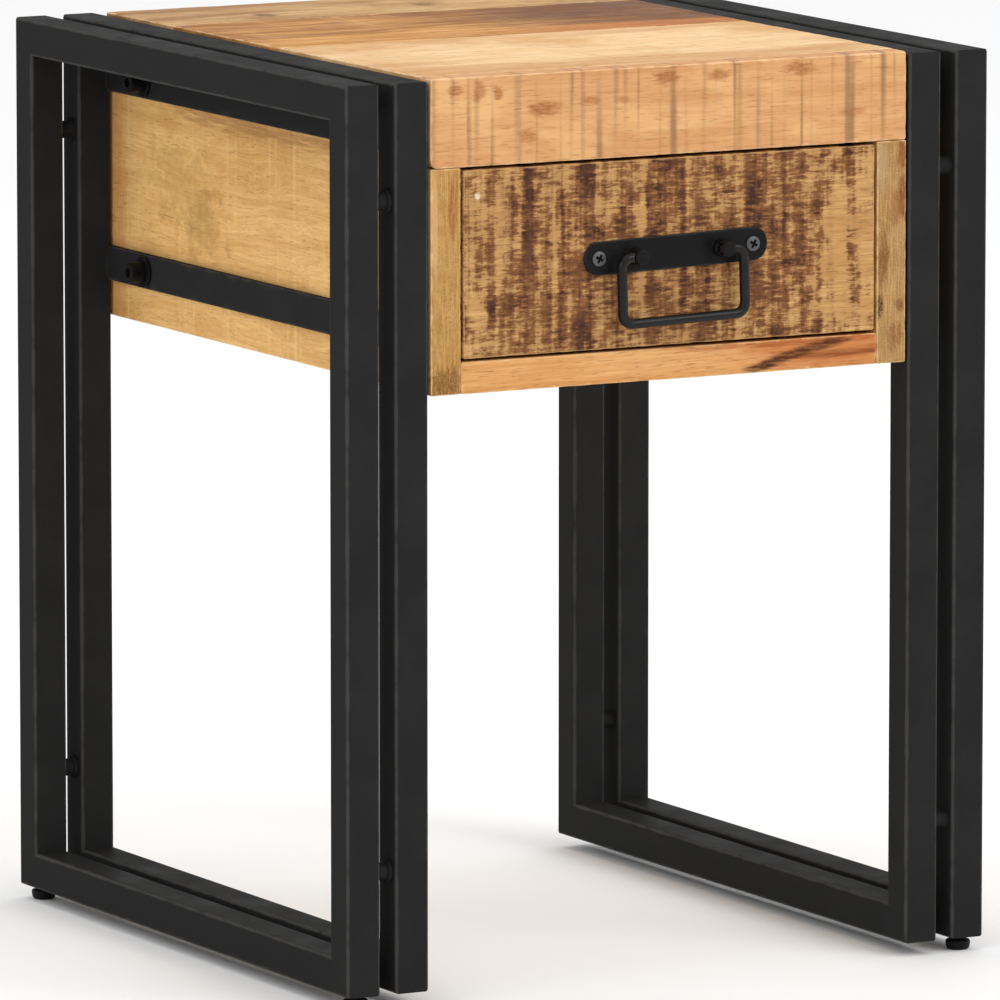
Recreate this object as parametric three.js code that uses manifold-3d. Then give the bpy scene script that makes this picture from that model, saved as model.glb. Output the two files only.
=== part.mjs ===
// Side table with one drawer. Two side frames, each a pair of black square-tube loops held
// apart by short pegs, carry a sawn-wood cabinet between them. The drawer runs on the
// cabinet's bottom board, and its pull is a bail that swings in two posts.
// Millimetres, +Z up, -Y is the drawer side. The origin is on the floor under the middle of
// the table's box.
import * as THREE from 'three';
import { mergeVertices } from 'three/addons/utils/BufferGeometryUtils.js';
import Module from 'manifold-3d';

const wasm = await Module();
wasm.setup();

// ---- driving dimensions ----
const WIDTH = 410; // over the outer loops
const DEPTH = 414; // over a loop, front to back
const LOOP_HEIGHT = 510;
const TUBE = 21; // square tube, outside
const TUBE_WALL = 1.5;
const TUBE_CORNER = 2; // outside corner radius of the tube
const LOOP_GAP = 9.5; // clear gap between the two loops of a side
const GLIDE_HEIGHT = 8;
const PULL_REACH = 13.5; // how far the posts of the pull stand out of the drawer front

const BAR_HEIGHT = 20;
const BAR_THICKNESS = 4;
const LOWER_BAR_Z = 364;
const UPPER_BAR_Z = 474.5;
const BOLT_FROM_MIDDLE = 138; // bolt places, front and back of the loop's middle

const BOLT = 6;
const HEAD_DIAMETER = 12;
const HEAD_HEIGHT = 9;
const WASHER_DIAMETER = 18;
const WASHER_THICKNESS = 2;
const INSERT_DIAMETER = 10;
const INSERT_LENGTH = 13;
const GLIDE_STUD = 5;

const SOCKET_RADIUS = 3;
const SOCKET_DEPTH = 5;
const PEG_DIAMETER = 10;
const COLLAR_DIAMETER = 13.5;
const PEG_COLLAR = 2;
const PEG_INSET = 10; // peg axis from the leg's outside face
const UPPER_PEG_Z = 452;
const LOWER_PEG_Z = 76.5;

const CABINET_HALF = 152;
const SIDE_BOARD = 19;
const CABINET_BOTTOM = 342.5;
const RAIL_HEIGHT = 18;
const REVEAL = 1.5; // gap all round the drawer front
const DRAWER_FRONT_HEIGHT = 105.5;
const LIP_HEIGHT = 50.5; // front board of the top
const LIP_DEPTH = 16;
const PLANK = 20; // thickness of the top planks
const BACK_SETBACK = 12; // the wood stops this far before the back of the steel
const FRONT_PLANK_WIDTH = 166;
const MIDDLE_PLANK_WIDTH = 135;
const BACK_PANEL = 6;

const DRAWER_SIDE = 12;
const DRAWER_BOTTOM = 5;
const DRAWER_LENGTH = 395.5; // front face to the back of the box
const DRAWER_SIDE_HEIGHT = 94;
const GROOVE_DEPTH = 4;
const DRAWER_TRAVEL = 250;
const RUNNING_GAP = 0.5;
const FIT_GAP = 0.3; // clearance round pieces that sit in a hole or a groove

const KICKER = 12; // square strip over each drawer side
const CATCH_HALF = 100; // half width of the cross piece's lower part
const CATCH_DROP = 6; // how far it reaches below the top of the drawer's back

const PULL_SCREW = 3.4;
const PULL_SCREW_IN = 14.5; // length of a pull screw in the wood
const PLATE_LENGTH = 117;
const PLATE_HEIGHT = 19;
const PLATE_THICKNESS = 1.5;
const PULL_X = 2.5; // the pull is fitted a little right of the middle
const POST_SPACING = 55;
const POST_DIAMETER = 9;
const BAIL_SPACING = 78; // between the bail's leg axes
const BAIL_DROP = 37.25; // pivot to the grip bar's axis
const BAIL_ROD = 6;
const BAIL_OUT = 9; // pivot axis from the drawer front
const BAIL_BEND = 5;
const SCREW_SPACING = 98.5;
const PULL_TILT = (1.6 * Math.PI) / 180; // the pull is fitted a little out of level, right end high

// ---- places that follow ----
const FRONT = -(DEPTH + PULL_REACH) / 2 + PULL_REACH; // front face of steel and wood
const BACK = FRONT + DEPTH;
const LOOP_BOTTOM = GLIDE_HEIGHT;
const LOOP_TOP = LOOP_BOTTOM + LOOP_HEIGHT;
const OUTER_X = (WIDTH - TUBE) / 2; // middle of the outer tubes
const INNER_X = OUTER_X - TUBE - LOOP_GAP; // middle of the inner tubes
const OPENING_HALF = CABINET_HALF - SIDE_BOARD;
const RAIL_TOP = CABINET_BOTTOM + RAIL_HEIGHT;
const DRAWER_LOW = RAIL_TOP + REVEAL;
const DRAWER_HIGH = DRAWER_LOW + DRAWER_FRONT_HEIGHT;
const LIP_LOW = DRAWER_HIGH + REVEAL;
const WOOD_TOP = LIP_LOW + LIP_HEIGHT;
const PLANK_LOW = WOOD_TOP - PLANK;
const WOOD_BACK = BACK - BACK_SETBACK;
const PANEL_FRONT = WOOD_BACK - BACK_PANEL;
const DRAWER_HALF = OPENING_HALF - REVEAL;
const BOX_FRONT = FRONT + SIDE_BOARD;
const BOX_BACK = FRONT + DRAWER_LENGTH;
const BOX_LOW = RAIL_TOP + RUNNING_GAP;
const BOX_HIGH = BOX_LOW + DRAWER_SIDE_HEIGHT;
const FLOOR_LOW = BOX_LOW + 6; // drawer floor, above the lower edge of the sides
const FLOOR_HIGH = FLOOR_LOW + DRAWER_BOTTOM;
const PULL_Z = (DRAWER_LOW + DRAWER_HIGH) / 2;
const KICKER_LOW = BOX_HIGH + 2;
const BAR_INNER_X = CABINET_HALF;
const BAR_OUTER_X = BAR_INNER_X + BAR_THICKNESS;

const SIDES = [['left', -1], ['right', 1]];

// ---- materials ----
const finish = (color, roughness, metalness) => ({ color, roughness, metalness });
const BLACK_STEEL = finish(0x2c2c2b, 0.55, 0.4);
const BLACK_HARDWARE = finish(0x1c1c1c, 0.4, 0.6);
const ZINC = finish(0x8d8f90, 0.4, 0.9);
const BLACK_PLASTIC = finish(0x161616, 0.7, 0);
const LIP_WOOD = finish(0xdcab77, 0.7, 0);
const CREAM_WOOD = finish(0xe6c694, 0.7, 0);
const GOLDEN_WOOD = finish(0xb9854a, 0.7, 0);
const BEIGE_WOOD = finish(0xb7a184, 0.7, 0);
const SIDE_WOOD = finish(0xc9a066, 0.7, 0);
const RAIL_WOOD = finish(0xd09a5e, 0.7, 0);
const DRAWER_WOOD = finish(0xc4985b, 0.7, 0);
const PLAIN_WOOD = finish(0xc8a877, 0.8, 0);

const table = new THREE.Group();

// ---- making pieces ----
function addPiece(name, geometry, look, x = 0, y = 0, z = 0) {
  const mesh = new THREE.Mesh(geometry, new THREE.MeshStandardMaterial(look));
  mesh.name = name;
  mesh.position.set(x, y, z);
  table.add(mesh);
  return mesh;
}

function addBoard(name, look, [x0, x1], [y0, y1], [z0, z1], holes = []) {
  const board = new THREE.BoxGeometry(x1 - x0, y1 - y0, z1 - z0);
  board.translate((x0 + x1) / 2, (y0 + y1) / 2, (z0 + z1) / 2);
  return addPiece(name, holes.length ? cut(board, holes) : board, look);
}

function toSolid(geometry) {
  const bare = geometry.clone();
  bare.deleteAttribute('normal');
  bare.deleteAttribute('uv');
  const merged = mergeVertices(bare, 1e-4);
  const vertProperties = new Float32Array(merged.attributes.position.array);
  const triVerts = new Uint32Array(merged.index.array);
  return new wasm.Manifold(new wasm.Mesh({ numProp: 3, vertProperties, triVerts }));
}

function toGeometry(solid) {
  const mesh = solid.getMesh();
  const geometry = new THREE.BufferGeometry();
  geometry.setAttribute('position', new THREE.BufferAttribute(mesh.vertProperties, 3));
  geometry.setIndex(new THREE.BufferAttribute(mesh.triVerts, 1));
  return geometry;
}

function cut(geometry, tools) {
  return toGeometry(tools.reduce((solid, tool) => solid.subtract(toSolid(tool)), toSolid(geometry)));
}

function join(geometries) {
  const solids = geometries.map(toSolid);
  return toGeometry(solids.reduce((sum, solid) => sum.add(solid)));
}

// A turned piece: the profile is [radius, height] pairs from the axis back to the axis, or a
// closed ring of them. Heights run along the axis asked for.
function turned(profile, segments, axis = 'z') {
  const points = profile.map(([radius, height]) => new THREE.Vector2(radius, height));
  const geometry = new THREE.LatheGeometry(points, segments);
  if (axis === 'z') geometry.rotateX(Math.PI / 2);
  if (axis === 'x') geometry.rotateZ(-Math.PI / 2);
  return geometry;
}

// An outline carried along one axis. Its points are (y, z) for x, (z, x) for y, (x, y) for z.
function prism(outline, from, to, axis) {
  const settings = { depth: to - from, bevelEnabled: false, curveSegments: 16 };
  const geometry = new THREE.ExtrudeGeometry(outline, settings);
  geometry.translate(0, 0, from);
  const [X, Y, Z] = [[1, 0, 0], [0, 1, 0], [0, 0, 1]].map((v) => new THREE.Vector3(...v));
  const turn = new THREE.Matrix4();
  if (axis === 'x') turn.makeBasis(Y, Z, X);
  if (axis === 'y') turn.makeBasis(Z, X, Y);
  return geometry.applyMatrix4(turn);
}

function polygon(points) {
  return new THREE.Shape(points.map(([u, v]) => new THREE.Vector2(u, v)));
}

function drillTool(diameter, axis, from, to, x, y, z) {
  const radius = diameter / 2;
  const tool = turned([[0, from], [radius, from], [radius, to], [0, to]], 16, axis);
  return tool.translate(x, y, z);
}

// ---- steel loops ----
function roundedSquare(shape, half, radius) {
  const inner = half - radius;
  shape.absarc(inner, inner, radius, 0, Math.PI / 2);
  shape.absarc(-inner, inner, radius, Math.PI / 2, Math.PI);
  shape.absarc(-inner, -inner, radius, Math.PI, Math.PI * 1.5);
  shape.absarc(inner, -inner, radius, Math.PI * 1.5, Math.PI * 2);
  shape.closePath();
  return shape;
}

// A length of square tube along Z whose ends are mitred, so that its -Y face is the long one.
function mitredTube(length) {
  const section = roundedSquare(new THREE.Shape(), TUBE / 2, TUBE_CORNER);
  const bore = roundedSquare(new THREE.Path(), TUBE / 2 - TUBE_WALL, TUBE_CORNER / 2);
  section.holes.push(bore);
  const tube = new THREE.ExtrudeGeometry(section, { depth: length, bevelEnabled: false, curveSegments: 2 });
  const place = tube.attributes.position;
  for (let i = 0; i < place.count; i += 1) {
    const setback = place.getY(i) + TUBE / 2;
    const atStart = place.getZ(i) < length / 2;
    place.setZ(i, atStart ? setback : length - setback);
  }
  return tube.translate(0, 0, -length / 2);
}

function addLoop(prefix, x, glideHoles) {
  const middleY = (FRONT + BACK) / 2;
  const middleZ = (LOOP_BOTTOM + LOOP_TOP) / 2;
  const half = TUBE / 2;
  addPiece(`${prefix}_front_leg`, mitredTube(LOOP_HEIGHT), BLACK_STEEL, x, FRONT + half, middleZ);
  const backLeg = mitredTube(LOOP_HEIGHT).rotateZ(Math.PI);
  addPiece(`${prefix}_back_leg`, backLeg, BLACK_STEEL, x, BACK - half, middleZ);
  const topRail = mitredTube(DEPTH).rotateX(-Math.PI / 2);
  addPiece(`${prefix}_top_rail`, topRail, BLACK_STEEL, x, middleY, LOOP_TOP - half);
  let bottomRail = mitredTube(DEPTH).rotateX(Math.PI / 2);
  if (glideHoles) bottomRail = cut(bottomRail, glideHoles);
  addPiece(`${prefix}_bottom_rail`, bottomRail, BLACK_STEEL, x, middleY, LOOP_BOTTOM + half);
}

// Studs of the glides enter through the bottom wall, near the rail's two ends.
function glideHoles() {
  const reach = DEPTH / 2 - TUBE / 2;
  return [-reach, reach].map((y) => drillTool(GLIDE_STUD + 2 * FIT_GAP, 'z', -2, 2, 0, y, -TUBE / 2));
}

function addGlide(name, x, y) {
  const profile = [
    [0, 0], [5.5, 0], [6.6, 1.2], [7.2, 4.4], [6.8, 5.4], [4.5, 6], [4.5, GLIDE_HEIGHT],
    [GLIDE_STUD / 2, GLIDE_HEIGHT], [GLIDE_STUD / 2, GLIDE_HEIGHT + 12], [0, GLIDE_HEIGHT + 12],
  ];
  addPiece(name, turned(profile, 18), BLACK_PLASTIC, x, y, 0);
}

// ---- hardware of one side; sign is -1 on the left, +1 on the right ----
// A profile points inwards along +X for the left side, and is turned about for the right.
function sidePiece(profile, segments, sign, x, y, z) {
  const piece = turned(profile, segments, 'x');
  if (sign > 0) piece.rotateZ(Math.PI);
  return piece.translate(sign * x, y, z);
}

// The four places of a side, as [name, y, z].
function fourPlaces(frontY, backY, lowerZ, upperZ) {
  return [
    ['front_lower', frontY, lowerZ],
    ['front_upper', frontY, upperZ],
    ['back_lower', backY, lowerZ],
    ['back_upper', backY, upperZ],
  ];
}

function boltPlaces() {
  const middleY = (FRONT + BACK) / 2;
  const halfBar = BAR_HEIGHT / 2;
  const ys = [middleY - BOLT_FROM_MIDDLE, middleY + BOLT_FROM_MIDDLE];
  return fourPlaces(...ys, LOWER_BAR_Z + halfBar, UPPER_BAR_Z + halfBar);
}

function addPegs(side, sign) {
  const collarAt = LOOP_GAP - PEG_COLLAR;
  const [body, collar] = [PEG_DIAMETER / 2, COLLAR_DIAMETER / 2];
  const profile = [
    [0, 0], [body, 0], [body, collarAt], [collar, collarAt], [collar, LOOP_GAP], [0, LOOP_GAP],
  ];
  const places = fourPlaces(FRONT + PEG_INSET, BACK - PEG_INSET, LOWER_PEG_Z, UPPER_PEG_Z);
  for (const [place, y, z] of places) {
    const peg = sidePiece(profile, 16, sign, OUTER_X - TUBE / 2, y, z);
    addPiece(`${side}_${place}_peg`, peg, BLACK_STEEL);
  }
}

function addBars(side, sign) {
  const xs = [BAR_INNER_X, BAR_OUTER_X].map((x) => x * sign).sort((a, b) => a - b);
  const ys = [FRONT + TUBE, BACK - TUBE];
  const bars = { lower: LOWER_BAR_Z, upper: UPPER_BAR_Z };
  for (const [level, low] of Object.entries(bars)) {
    const high = low + BAR_HEIGHT;
    const holes = boltPlaces()
      .filter(([place]) => place.endsWith(level))
      .map(([, y, z]) => drillTool(BOLT + 2 * FIT_GAP, 'x', -10, 10, sign * BAR_INNER_X, y, z));
    addBoard(`${side}_${level}_bar`, BLACK_STEEL, xs, ys, [low, high], holes);
  }
}

// Bolt and washer in one turned solid, seated on the bar's outer face, with a hexagon socket.
function addBolts(side, sign) {
  const seat = -WASHER_THICKNESS;
  const top = seat - HEAD_HEIGHT;
  const tip = BAR_THICKNESS + INSERT_LENGTH - FIT_GAP;
  const [shank, rim, washer] = [BOLT / 2, HEAD_DIAMETER / 2, WASHER_DIAMETER / 2];
  const profile = [
    [0, top], [rim - 1.2, top], [rim, top + 1.2], [rim, seat], [washer, seat], [washer, 0],
    [shank, 0], [shank, tip - 1], [shank - 1, tip], [0, tip],
  ];
  const socketEnd = top + SOCKET_DEPTH;
  const socket = [[0, top - 1], [SOCKET_RADIUS, top - 1], [SOCKET_RADIUS, socketEnd], [0, socketEnd]];
  for (const [place, y, z] of boltPlaces()) {
    const bolt = sidePiece(profile, 18, sign, BAR_OUTER_X, y, z);
    const recess = sidePiece(socket, 6, sign, BAR_OUTER_X, y, z);
    addPiece(`${side}_${place}_bolt`, cut(bolt, [recess]), BLACK_HARDWARE);
  }
}

// ---- cabinet ----
function addSidePanel(side, sign) {
  const lipBack = FRONT + LIP_DEPTH;
  const outline = polygon([
    [FRONT, CABINET_BOTTOM], [WOOD_BACK, CABINET_BOTTOM], [WOOD_BACK, PLANK_LOW],
    [lipBack, PLANK_LOW], [lipBack, LIP_LOW], [FRONT, LIP_LOW],
  ]);
  const [from, to] = [OPENING_HALF, CABINET_HALF].map((x) => x * sign).sort((a, b) => a - b);
  const depth = INSERT_LENGTH + FIT_GAP;
  const holes = boltPlaces().map(([, y, z]) =>
    drillTool(INSERT_DIAMETER, 'x', -depth, depth, sign * CABINET_HALF, y, z));
  addPiece(`${side}_side_panel`, cut(prism(outline, from, to, 'x'), holes), SIDE_WOOD);
}

function addTop() {
  const full = [-CABINET_HALF, CABINET_HALF];
  const lipBack = FRONT + LIP_DEPTH;
  const middleFrom = lipBack + FRONT_PLANK_WIDTH;
  const backFrom = middleFrom + MIDDLE_PLANK_WIDTH;
  const height = [PLANK_LOW, WOOD_TOP];
  addBoard('top_front_board', LIP_WOOD, full, [FRONT, lipBack], [LIP_LOW, WOOD_TOP]);
  addBoard('top_front_plank', CREAM_WOOD, full, [lipBack, middleFrom], height);
  addBoard('top_middle_plank', GOLDEN_WOOD, full, [middleFrom, backFrom], height);
  addBoard('top_back_plank', BEIGE_WOOD, full, [backFrom, WOOD_BACK], height);
}

function addCarcass() {
  const opening = [-OPENING_HALF, OPENING_HALF];
  const bottomZ = [CABINET_BOTTOM, RAIL_TOP];
  addBoard('front_rail', RAIL_WOOD, opening, [FRONT, BOX_FRONT], bottomZ);
  addBoard('bottom_board', PLAIN_WOOD, opening, [BOX_FRONT, PANEL_FRONT], bottomZ);
  addBoard('back_panel', SIDE_WOOD, opening, [PANEL_FRONT, WOOD_BACK], [CABINET_BOTTOM, PLANK_LOW]);
}

// Two strips over the drawer's sides keep it from tipping. The cross piece between them
// reaches down behind the strips and catches the drawer's back at full travel.
function addGuideFrame() {
  const kickerHigh = KICKER_LOW + KICKER;
  const inner = OPENING_HALF - KICKER;
  const catchBack = BOX_BACK - DRAWER_SIDE - DRAWER_TRAVEL;
  const crossOutline = polygon([
    [KICKER_LOW, -OPENING_HALF], [KICKER_LOW, -CATCH_HALF], [BOX_HIGH - CATCH_DROP, -CATCH_HALF],
    [BOX_HIGH - CATCH_DROP, CATCH_HALF], [KICKER_LOW, CATCH_HALF], [KICKER_LOW, OPENING_HALF],
    [kickerHigh, OPENING_HALF], [kickerHigh, -OPENING_HALF],
  ]);
  const strips = SIDES.map(([, sign]) => {
    const strip = new THREE.BoxGeometry(KICKER, PANEL_FRONT - BOX_FRONT - 5, KICKER);
    const middleY = (PANEL_FRONT + BOX_FRONT + 5) / 2;
    return strip.translate(sign * (inner + KICKER / 2), middleY, KICKER_LOW + KICKER / 2);
  });
  const cross = prism(crossOutline, catchBack - 20, catchBack, 'y');
  addPiece('drawer_guide_frame', join([cross, ...strips]), PLAIN_WOOD);
}

// ---- drawer ----
function addDrawer() {
  const grooveLow = FLOOR_LOW - FIT_GAP;
  const grooveHigh = FLOOR_HIGH + FIT_GAP;
  const grooveFront = BOX_FRONT - GROOVE_DEPTH;
  const frontOutline = polygon([
    [FRONT, DRAWER_LOW], [BOX_FRONT, DRAWER_LOW], [BOX_FRONT, grooveLow], [grooveFront, grooveLow],
    [grooveFront, grooveHigh], [BOX_FRONT, grooveHigh], [BOX_FRONT, DRAWER_HIGH], [FRONT, DRAWER_HIGH],
  ]);
  const screwHole = PULL_SCREW + 2 * FIT_GAP;
  const holes = screwXs().map((x) =>
    tilted(drillTool(screwHole, 'y', -1, PULL_SCREW_IN + 1, x, FRONT, PULL_Z)));
  const front = cut(prism(frontOutline, -DRAWER_HALF, DRAWER_HALF, 'x'), holes);
  addPiece('drawer_front', front, DRAWER_WOOD);

  const insideHalf = DRAWER_HALF - DRAWER_SIDE;
  const grooveHalf = insideHalf + GROOVE_DEPTH;
  for (const [side, sign] of SIDES) {
    const points = [
      [BOX_LOW, insideHalf], [grooveLow, insideHalf], [grooveLow, grooveHalf],
      [grooveHigh, grooveHalf], [grooveHigh, insideHalf], [BOX_HIGH, insideHalf],
      [BOX_HIGH, DRAWER_HALF], [BOX_LOW, DRAWER_HALF],
    ].map(([z, x]) => [z, x * sign]);
    const board = prism(polygon(points), BOX_FRONT, BOX_BACK, 'y');
    addPiece(`drawer_${side}_side`, board, PLAIN_WOOD);
  }
  const inside = [-insideHalf, insideHalf];
  addBoard('drawer_back', PLAIN_WOOD, inside, [BOX_BACK - DRAWER_SIDE, BOX_BACK], [grooveHigh, BOX_HIGH]);
  const floorHalf = grooveHalf - FIT_GAP;
  const floorY = [grooveFront + FIT_GAP, BOX_BACK];
  addBoard('drawer_bottom', PLAIN_WOOD, [-floorHalf, floorHalf], floorY, [FLOOR_LOW, FLOOR_HIGH]);
}

// ---- pull ----
function screwXs() {
  return [PULL_X - SCREW_SPACING / 2, PULL_X + SCREW_SPACING / 2];
}

// Turns a geometry about the middle of the pull, in the plane of the drawer front.
function tilted(geometry) {
  return geometry.translate(-PULL_X, 0, -PULL_Z).rotateY(-PULL_TILT).translate(PULL_X, 0, PULL_Z);
}

// The back plate with its two posts riveted on, each cross-drilled for the bail.
function addPlate() {
  const radius = PLATE_HEIGHT / 2;
  const reach = PLATE_LENGTH / 2 - radius;
  const outline = new THREE.Shape();
  outline.absarc(PULL_Z, PULL_X + reach, radius, 0, Math.PI);
  outline.absarc(PULL_Z, PULL_X - reach, radius, Math.PI, 2 * Math.PI);
  for (const x of screwXs()) {
    outline.holes.push(new THREE.Path().absarc(PULL_Z, x, PULL_SCREW / 2 + FIT_GAP, 0, 2 * Math.PI));
  }
  const plate = prism(outline, FRONT - PLATE_THICKNESS, FRONT, 'y');
  const end = -PULL_REACH;
  const rim = POST_DIAMETER / 2;
  const xs = SIDES.map(([, sign]) => PULL_X + (sign * POST_SPACING) / 2);
  const profile = [[0, end], [rim - 0.6, end], [rim, end + 0.6], [rim, -0.5], [0, -0.5]];
  const posts = xs.map((x) => turned(profile, 20, 'y').translate(x, FRONT, PULL_Z));
  const bore = BAIL_ROD + 2 * FIT_GAP;
  const holes = xs.map((x) =>
    drillTool(bore, 'x', -POST_DIAMETER, POST_DIAMETER, x, FRONT - BAIL_OUT, PULL_Z));
  addPiece('pull_plate', tilted(cut(join([plate, ...posts]), holes)), BLACK_HARDWARE);
}

// The rod runs in through one post's outer side, down, across as the grip, and up again.
function addBail() {
  const half = BAIL_SPACING / 2;
  const end = POST_SPACING / 2 - POST_DIAMETER / 2 + 0.5;
  const corners = [[-end, 0], [-half, 0], [-half, -BAIL_DROP], [half, -BAIL_DROP], [half, 0], [end, 0]];
  const points = corners.map(([x, z]) => new THREE.Vector3(PULL_X + x, FRONT - BAIL_OUT, PULL_Z + z));
  const path = new THREE.CurvePath();
  let from = points[0];
  for (let i = 1; i < points.length - 1; i += 1) {
    const corner = points[i];
    const before = corner.clone().add(points[i - 1].clone().sub(corner).setLength(BAIL_BEND));
    const after = corner.clone().add(points[i + 1].clone().sub(corner).setLength(BAIL_BEND));
    path.add(new THREE.LineCurve3(from, before));
    path.add(new THREE.QuadraticBezierCurve3(before, corner, after));
    from = after;
  }
  path.add(new THREE.LineCurve3(from, points[points.length - 1]));
  const section = new THREE.Shape().absarc(0, 0, BAIL_ROD / 2, 0, 2 * Math.PI);
  const settings = { steps: 60, extrudePath: path, curveSegments: 6 };
  addPiece('pull_bail', tilted(new THREE.ExtrudeGeometry(section, settings)), BLACK_HARDWARE);
}

function addPullScrews() {
  const shank = PULL_SCREW / 2;
  const tip = PULL_SCREW_IN + PLATE_THICKNESS;
  const profile = [
    [0, -1.9], [2, -1.7], [3.4, -1.1], [4.25, 0], [shank, 0], [shank, tip - 2], [0, tip],
  ];
  const face = FRONT - PLATE_THICKNESS;
  SIDES.forEach(([side], i) => {
    const screw = turned(profile, 16, 'y').translate(screwXs()[i], face, PULL_Z);
    addPiece(`pull_${side}_screw`, tilted(screw), ZINC);
  });
}

// ---- the table ----
for (const [side, sign] of SIDES) {
  addLoop(`${side}_outer`, sign * OUTER_X, glideHoles());
  addLoop(`${side}_inner`, sign * INNER_X, null);
  addGlide(`${side}_front_glide`, sign * OUTER_X, FRONT + TUBE / 2);
  addGlide(`${side}_back_glide`, sign * OUTER_X, BACK - TUBE / 2);
  addPegs(side, sign);
  addBars(side, sign);
  addBolts(side, sign);
  addSidePanel(side, sign);
}
addTop();
addCarcass();
addGuideFrame();
addDrawer();
addPlate();
addBail();
addPullScrews();

export default table;
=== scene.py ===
# %% [markdown]
# # A side table with one drawer
#
# The real piece is a small cabinet of rough-sawn wood, hung between four loops of black square
# tube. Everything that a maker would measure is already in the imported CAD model, so this lesson only
# dresses it: each board, loop and screw is built again as a finer surface in the place that the CAD
# gives, and rides on the body that it moves with. Lengths are in metres, and MM turns millimetres
# into them.

# %% Load the frame
import math

import bpy
import numpy as np
from mathutils import Matrix, Vector


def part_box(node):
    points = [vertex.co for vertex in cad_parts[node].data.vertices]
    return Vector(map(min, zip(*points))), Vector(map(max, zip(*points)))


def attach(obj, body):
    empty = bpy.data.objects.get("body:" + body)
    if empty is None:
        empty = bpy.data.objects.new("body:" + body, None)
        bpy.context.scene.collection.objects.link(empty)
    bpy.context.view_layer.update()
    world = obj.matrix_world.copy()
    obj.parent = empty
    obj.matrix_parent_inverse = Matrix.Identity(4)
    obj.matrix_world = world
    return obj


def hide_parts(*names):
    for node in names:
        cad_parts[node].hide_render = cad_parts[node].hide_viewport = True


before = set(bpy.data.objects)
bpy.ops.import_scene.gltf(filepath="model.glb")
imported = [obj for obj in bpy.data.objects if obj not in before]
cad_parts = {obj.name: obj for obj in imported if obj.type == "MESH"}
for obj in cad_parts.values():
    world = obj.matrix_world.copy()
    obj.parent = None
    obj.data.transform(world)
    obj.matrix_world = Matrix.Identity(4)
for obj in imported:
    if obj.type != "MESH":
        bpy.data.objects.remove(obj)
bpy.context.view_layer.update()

MM = 0.001
SIDES = (("left", -1), ("right", 1))

# %% [markdown]
# ## The camera
#
# A long lens far away keeps upright legs upright and parallel edges nearly parallel, which is how
# furniture is usually shown. The camera is placed by angles round a point near the middle of the
# table: how far it is turned to the left, how high it looks down from, and how far away it stands.

# %% Camera
AIM = Vector((2.9, 6.7, 247.3)) * MM
TURN, RISE = math.radians(-28.33), math.radians(8.35)
AWAY = 6.905
SENSOR_WIDTH, LENS = 36, 431.6
back = Vector((math.sin(TURN) * math.cos(RISE), -math.cos(TURN) * math.cos(RISE), math.sin(RISE)))
camera_data = bpy.data.cameras.new("camera")
camera_data.sensor_width, camera_data.lens = SENSOR_WIDTH, LENS
camera_data.clip_end = 60
camera = bpy.data.objects.new("camera", camera_data)
camera.location = AIM + back * AWAY
camera.rotation_mode = "QUATERNION"
camera.rotation_quaternion = (-back).to_track_quat("-Z", "Y")
bpy.context.scene.collection.objects.link(camera)
bpy.context.scene.camera = camera
print("camera at", [round(v, 3) for v in camera.location])

# %% [markdown]
# ## Nodes in few words
#
# Every finish below is a node tree. Small helpers keep the trees readable: put() adds one node and
# fills or links its sockets, and the others add the maths, noise and mix nodes that come up all the
# time.
# Colours are given as they look on a screen, from 0 to 255, and rgb() makes them linear.

# %% Node helpers
def rgb(red, green, blue):
    """Screen colour to linear: each share is lifted by 0.055, divided by 1.055 and raised to 2.4."""
    shares = (np.array([red, green, blue]) / 255 + 0.055) / 1.055
    return (*[float(v) for v in shares**2.4], 1.0)


def fill(tree, socket, value):
    """Links value to the socket if it is another node's output, and otherwise writes it in."""
    if isinstance(value, bpy.types.NodeSocket):
        tree.links.new(value, socket)
    else:
        socket.default_value = value


def put(tree, kind, sockets=None, **settings):
    """One new node: settings are its properties, sockets maps an input to a value or to an output."""
    node = tree.nodes.new("ShaderNode" + kind)
    for key, value in settings.items():
        setattr(node, key, value)
    for key, value in (sockets or {}).items():
        fill(tree, node.inputs[key], value)
    return node


def maths(tree, operation, *values):
    """The output of a Math node."""
    return put(tree, "Math", dict(enumerate(values)), operation=operation).outputs[0]


def times(tree, first, second):
    """The product of two values."""
    return maths(tree, "MULTIPLY", first, second)


def vector_maths(tree, operation, first, second):
    """The vector that a Vector Math node gives; SCALE takes a number as its second value."""
    key = "Scale" if operation == "SCALE" else 1
    return put(tree, "VectorMath", {0: first, key: second}, operation=operation).outputs[0]


def noise(tree, vector, by, detail=2.0, roughness=0.5, output="Fac"):
    """Cloudy values round 0.5. by holds the clouds in a metre along each axis."""
    sockets = {"Vector": vector_maths(tree, "MULTIPLY", vector, by), "Scale": 1.0, "Detail": detail,
               "Roughness": roughness}
    return put(tree, "TexNoise", sockets).outputs[output]


def step_up(tree, value, start, end, low=0.0, high=1.0):
    """low before start, high after end, and a smooth S between them."""
    sockets = {"Value": value, "From Min": start, "From Max": end, "To Min": low, "To Max": high}
    return put(tree, "MapRange", sockets, interpolation_type="SMOOTHSTEP").outputs[0]


def tint(tree, share, under, over):
    """Colour under, with colour over laid on it by share. The numbers are the colour sockets' places."""
    node = put(tree, "Mix", data_type="RGBA", clamp_factor=True)
    for key, value in ((0, share), (6, under), (7, over)):
        fill(tree, node.inputs[key], value)
    return node.outputs[2]


def lay(tree, colour, mask, share, over):
    """colour, with over laid on it where the mask is high, as strongly as share says."""
    return tint(tree, times(tree, mask, share), colour, over)


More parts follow.
